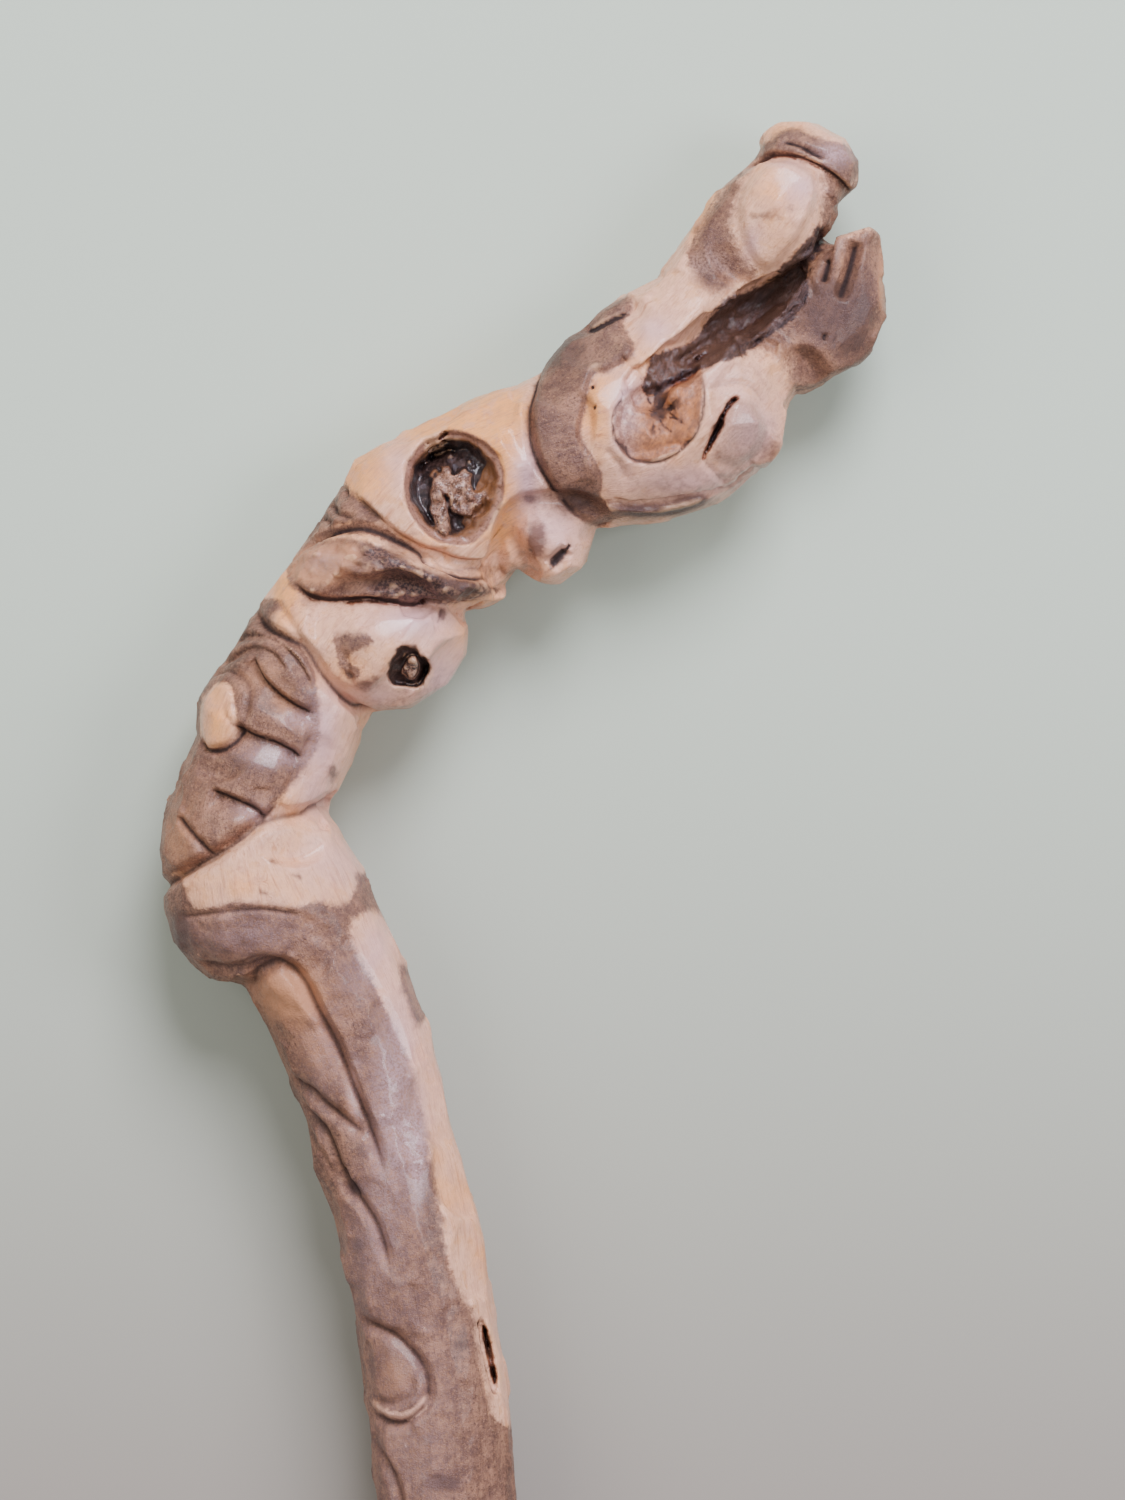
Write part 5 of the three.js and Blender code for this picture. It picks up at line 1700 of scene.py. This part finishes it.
    def varnish(self, bark, mask):
        """How thick the varnish is: least on bark, and none in the painted shade of the cuts."""
        coat = self.plus(
            self.minus(0.32, self.times(bark, 0.2)),
            self.times(self.at["painted_sheen"], 0.5),
            self.times(mask["black_shade"], 0.3),
        )
        dull = self.times(self.most(mask["warm"], mask["crack_wood_and_shade"]), 0.6)
        return self.times(coat, self.minus(1.0, self.most(self.ramp(self.at["ink"], 0.1, 0.6), dull)))

    def relief(self, bark, crack_wood_and_shade):
        """Height of the finest grain, for the bump."""
        speckle = self.at["speckle"]
        flakes = self.plus(self.times(speckle, 0.7), self.times(self.at["fine speckle"], 0.5))
        return self.plus(
            *(self.times(self.at[name], share) for name, share in SAP_RELIEF.items()),
            self.times(self.times(flakes, bark), 0.8),
            self.times(self.times(speckle, crack_wood_and_shade), 0.5),
        )


def varnished_wood(look):
    """Pale sapwood and brown inner bark under a clear gloss varnish."""
    material, _ = new_material("varnished_wood")
    w = Wood(material.node_tree)
    bark = w.bark_cover()
    mask = {
        name: w.ramp(w.plus(w.attribute(name), w.times(w.frayed, wander)), start, full)
        for name, (wander, start, full) in STAIN_EDGES.items()
    }
    colour = w.mix(bark, w.bare_wood(look), w.inner_bark(look))
    height = w.relief(bark, mask["crack_wood_and_shade"])
    bump = w.add("ShaderNodeBump", {"Height": height, "Strength": 0.45, "Distance": 0.0009})
    close_material(w, {
        "Base Color": w.painted_shade_and_wear(w.stained(colour, mask), mask),
        "Roughness": w.roughness(bark, look.gloss),
        "Normal": bump.outputs[0],
        "Coat Weight": w.varnish(bark, mask),
        "Coat Roughness": 0.17,
        "Specular IOR Level": 0.36,
        "Coat IOR": 1.45,
        "IOR": 1.5,
        "Specular Tint": (0.86, 0.8, 1.0, 1.0),
    })
    return material


def floor_finish(colour):
    """A plain painted floor, darker and a little warmer towards the foot of the staff."""
    material, w = new_material("pale_floor")
    place = w.add("ShaderNodeTexCoord").outputs["Object"]
    y = w.add("ShaderNodeSeparateXYZ", {0: place}).outputs[1]
    warm = w.times(w.ramp(y, *FLOOR_FADE), 1.1)
    tone = w.mix(warm, tuple(colour) + (1.0,), srgb(*FLOOR_FOOT_COLOUR))
    close_material(w, {"Base Color": tone, "Roughness": 0.85})
    return material


# The floor turns darker and warmer between these two levels of the frame, in metres.
FLOOR_FADE = (0.74, 0.36)
FLOOR_FOOT_COLOUR = (150, 141, 135)
FLOOR_HALF = 6.0

# The middle of the photo's frame and its height, in the drawing's millimetres.
PICTURE_MIDDLE = (29.125, 187.5, 21.0)
PICTURE_TALL = 375.0
SENSOR = 36.0

# Soft lights: place from the frame's middle and width, in metres, share of the key light's power,
# and colour.
LIGHTS = {
    "key": ((0.3, 1.15, 1.2), 0.9, 1.0, (0.94, 0.92, 1.0)),
    "side": ((1.2, 0.1, 1.2), 0.7, 0.3, (0.92, 0.9, 1.0)),
    "fill": ((-1.1, 0.2, 1.2), 1.2, 0.25, (1.0, 0.97, 0.93)),
}
SKY_COLOUR = (0.96, 1.0, 0.97, 1.0)
SKY_STRENGTH = 0.42

RELIEF_ENDS = (-110, -60)


def length(name, description, default):
    return FloatProperty(name=name, description=description, default=default, unit="LENGTH")


def share(name, description, default):
    return FloatProperty(name=name, description=description, default=default, subtype="FACTOR")


def paint(name, description, default):
    return FloatVectorProperty(name=name, description=description, default=default, size=3, min=0, max=255)


class CrosierSizes(bpy.types.PropertyGroup):
    """Sizes of the carving."""

    fine: length("Fine Step", "Smallest detail that is carved in the head", 0.00055)
    coarse: length("Shaft Step", "Spacing of points along the plain shaft", 0.003)
    join: length("Carving Ends", "Where the fine carving gives way to the plain shaft", -0.084)
    facet: length("Facet Size", "Width of one knife facet", 0.0085)
    facet_strength: share("Facet Flatness", "How flat a facet is, from 0 to 1", 0.95)
    triangles: IntProperty(name="Triangles", description="Most triangles of the staff", default=194000)
    bark_depth: length("Bark Relief", "Height of the fine bark relief", 0.00028)
    seed: IntProperty(name="Seed", description="Start of the random knife facets", default=7)


class CrosierLook(bpy.types.PropertyGroup):
    """Colours of the wood."""

    sap_warm: paint("Sapwood", "Bare wood, from 0 to 255", (236, 158, 92))
    sap_pink: paint("Pink Sapwood", "Bare wood on the lit side, from 0 to 255", (230, 174, 144))
    bark_light: paint("Light Bark", "Light patches of the inner bark, from 0 to 255", (152, 108, 86))
    bark_dark: paint("Dark Bark", "Dark patches of the inner bark, from 0 to 255", (106, 74, 62))
    gloss: share("Roughness", "Roughness of the varnished wood, from 0 to 1", 0.28)


class CrosierStage(bpy.types.PropertyGroup):
    """Floor, light and camera."""

    floor_colour: FloatVectorProperty(
        name="Floor", description="Colour of the floor", default=(0.495, 0.565, 0.485), size=3, subtype="COLOR"
    )
    camera_height: length("Camera Height", "Distance from the camera to the staff", 1.5)
    key_power: FloatProperty(
        name="Key Light", description="Power of the main soft light", default=46.0, unit="POWER"
    )


class CROSIER_OT_carve(bpy.types.Operator):
    """Carve the staff from one crooked branch and varnish it"""

    bl_idname = "crosier.carve"
    bl_label = "Carve the Staff"

    def execute(self, context):
        sizes = context.scene.crosier_sizes
        body, volume, lines, traces = carve(sizes, sizes.fine)
        points, faces = net(volume, lines)
        points[:, 2] = np.maximum(points[:, 2], 0)
        mesh = plain_mesh("staff_carving", (points + np.array([SHIFT_X, SHIFT_Y, 0])) / MM, faces)
        drawn = drawing_points(mesh)
        store(mesh, "bark", bark_depth(drawn))
        store(mesh, "fine", ramp(*RELIEF_ENDS, drawn[:, 1]))
        staff = link("carved_staff", mesh)
        finish = varnished_wood(context.scene.crosier_look)
        relief = staff.modifiers.new("Relief", "NODES")
        relief.node_group = relief_tree()
        set_input(relief, "Bark depth", sizes.bark_depth)
        set_input(relief, "Seed", sizes.seed)
        set_input(relief, "Finish", finish)
        thin = staff.modifiers.new("Thin", "DECIMATE")
        thin.ratio = min(1.0, sizes.triangles / (2 * len(faces)))
        mesh = baked(staff, "carved_staff")
        mark_surface(mesh, body, volume, lines, traces)
        mesh.attributes.remove(mesh.attributes["fine"])
        mesh.polygons.foreach_set("use_smooth", np.ones(len(mesh.polygons), bool))
        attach(staff, "root")
        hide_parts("staff")
        return {"FINISHED"}


def area_light(name, place, aim, size, power, colour):
    """A round soft light that points at its aim."""
    data = bpy.data.lights.new(name, "AREA")
    data.shape = "DISK"
    data.size = size
    data.energy = power
    data.color = colour
    light = link(name, data)
    light.location = place
    light.rotation_euler = (aim - place).to_track_quat("-Z", "Y").to_euler()


class CROSIER_OT_stage(bpy.types.Operator):
    """Lay a pale floor, set soft light and look straight down on the carved head"""

    bl_idname = "crosier.stage"
    bl_label = "Set the Stage"

    def execute(self, context):
        stage = context.scene.crosier_stage
        middle_x, middle_y, middle_z = PICTURE_MIDDLE
        centre = Vector(((middle_x + SHIFT_X) / MM, (middle_y + SHIFT_Y) / MM, middle_z / MM))
        mesh = bpy.data.meshes.new("floor")
        far = FLOOR_HALF
        mesh.from_pydata([(-far, -far, 0), (far, -far, 0), (far, far, 0), (-far, far, 0)], [], [(0, 1, 2, 3)])
        mesh.materials.append(floor_finish(stage.floor_colour))
        link("floor", mesh)
        for name, (place, size, share, colour) in LIGHTS.items():
            area_light(name, centre + Vector(place), centre, size, stage.key_power * share, colour)
        world = bpy.data.worlds.new("studio")
        world.use_nodes = True
        sky = world.node_tree.nodes["Background"].inputs
        sky[0].default_value = SKY_COLOUR
        sky[1].default_value = SKY_STRENGTH
        context.scene.world = world
        data = bpy.data.cameras.new("camera")
        data.sensor_width = SENSOR
        data.lens = SENSOR * stage.camera_height / (PICTURE_TALL / MM)
        data.clip_start, data.clip_end = 0.05, 20.0
        camera = link("camera", data)
        camera.location = centre + Vector((0, 0, stage.camera_height))
        context.scene.camera = camera
        return {"FINISHED"}


class CROSIER_PT_panel(bpy.types.Panel):
    """Sizes, colours and steps of the crosier"""

    bl_idname = "CROSIER_PT_panel"
    bl_label = "Carved Crosier"
    bl_space_type = "VIEW_3D"
    bl_region_type = "UI"
    bl_category = "Crosier"

    def draw(self, context):
        for group in (context.scene.crosier_sizes, context.scene.crosier_look, context.scene.crosier_stage):
            box = self.layout.box()
            for key in group.__annotations__:
                box.prop(group, key)
        self.layout.operator(CROSIER_OT_stage.bl_idname)
        self.layout.operator(CROSIER_OT_carve.bl_idname)


CLASSES = (CrosierSizes, CrosierLook, CrosierStage, CROSIER_OT_carve, CROSIER_OT_stage, CROSIER_PT_panel)


def register():
    for one in CLASSES:
        bpy.utils.register_class(one)
    bpy.types.Scene.crosier_sizes = PointerProperty(type=CrosierSizes)
    bpy.types.Scene.crosier_look = PointerProperty(type=CrosierLook)
    bpy.types.Scene.crosier_stage = PointerProperty(type=CrosierStage)


def unregister():
    del bpy.types.Scene.crosier_sizes
    del bpy.types.Scene.crosier_look
    del bpy.types.Scene.crosier_stage
    for one in reversed(CLASSES):
        bpy.utils.unregister_class(one)


def main():
    register()
    bpy.ops.crosier.stage()
    bpy.ops.crosier.carve()


if __name__ == "__main__":
    main()
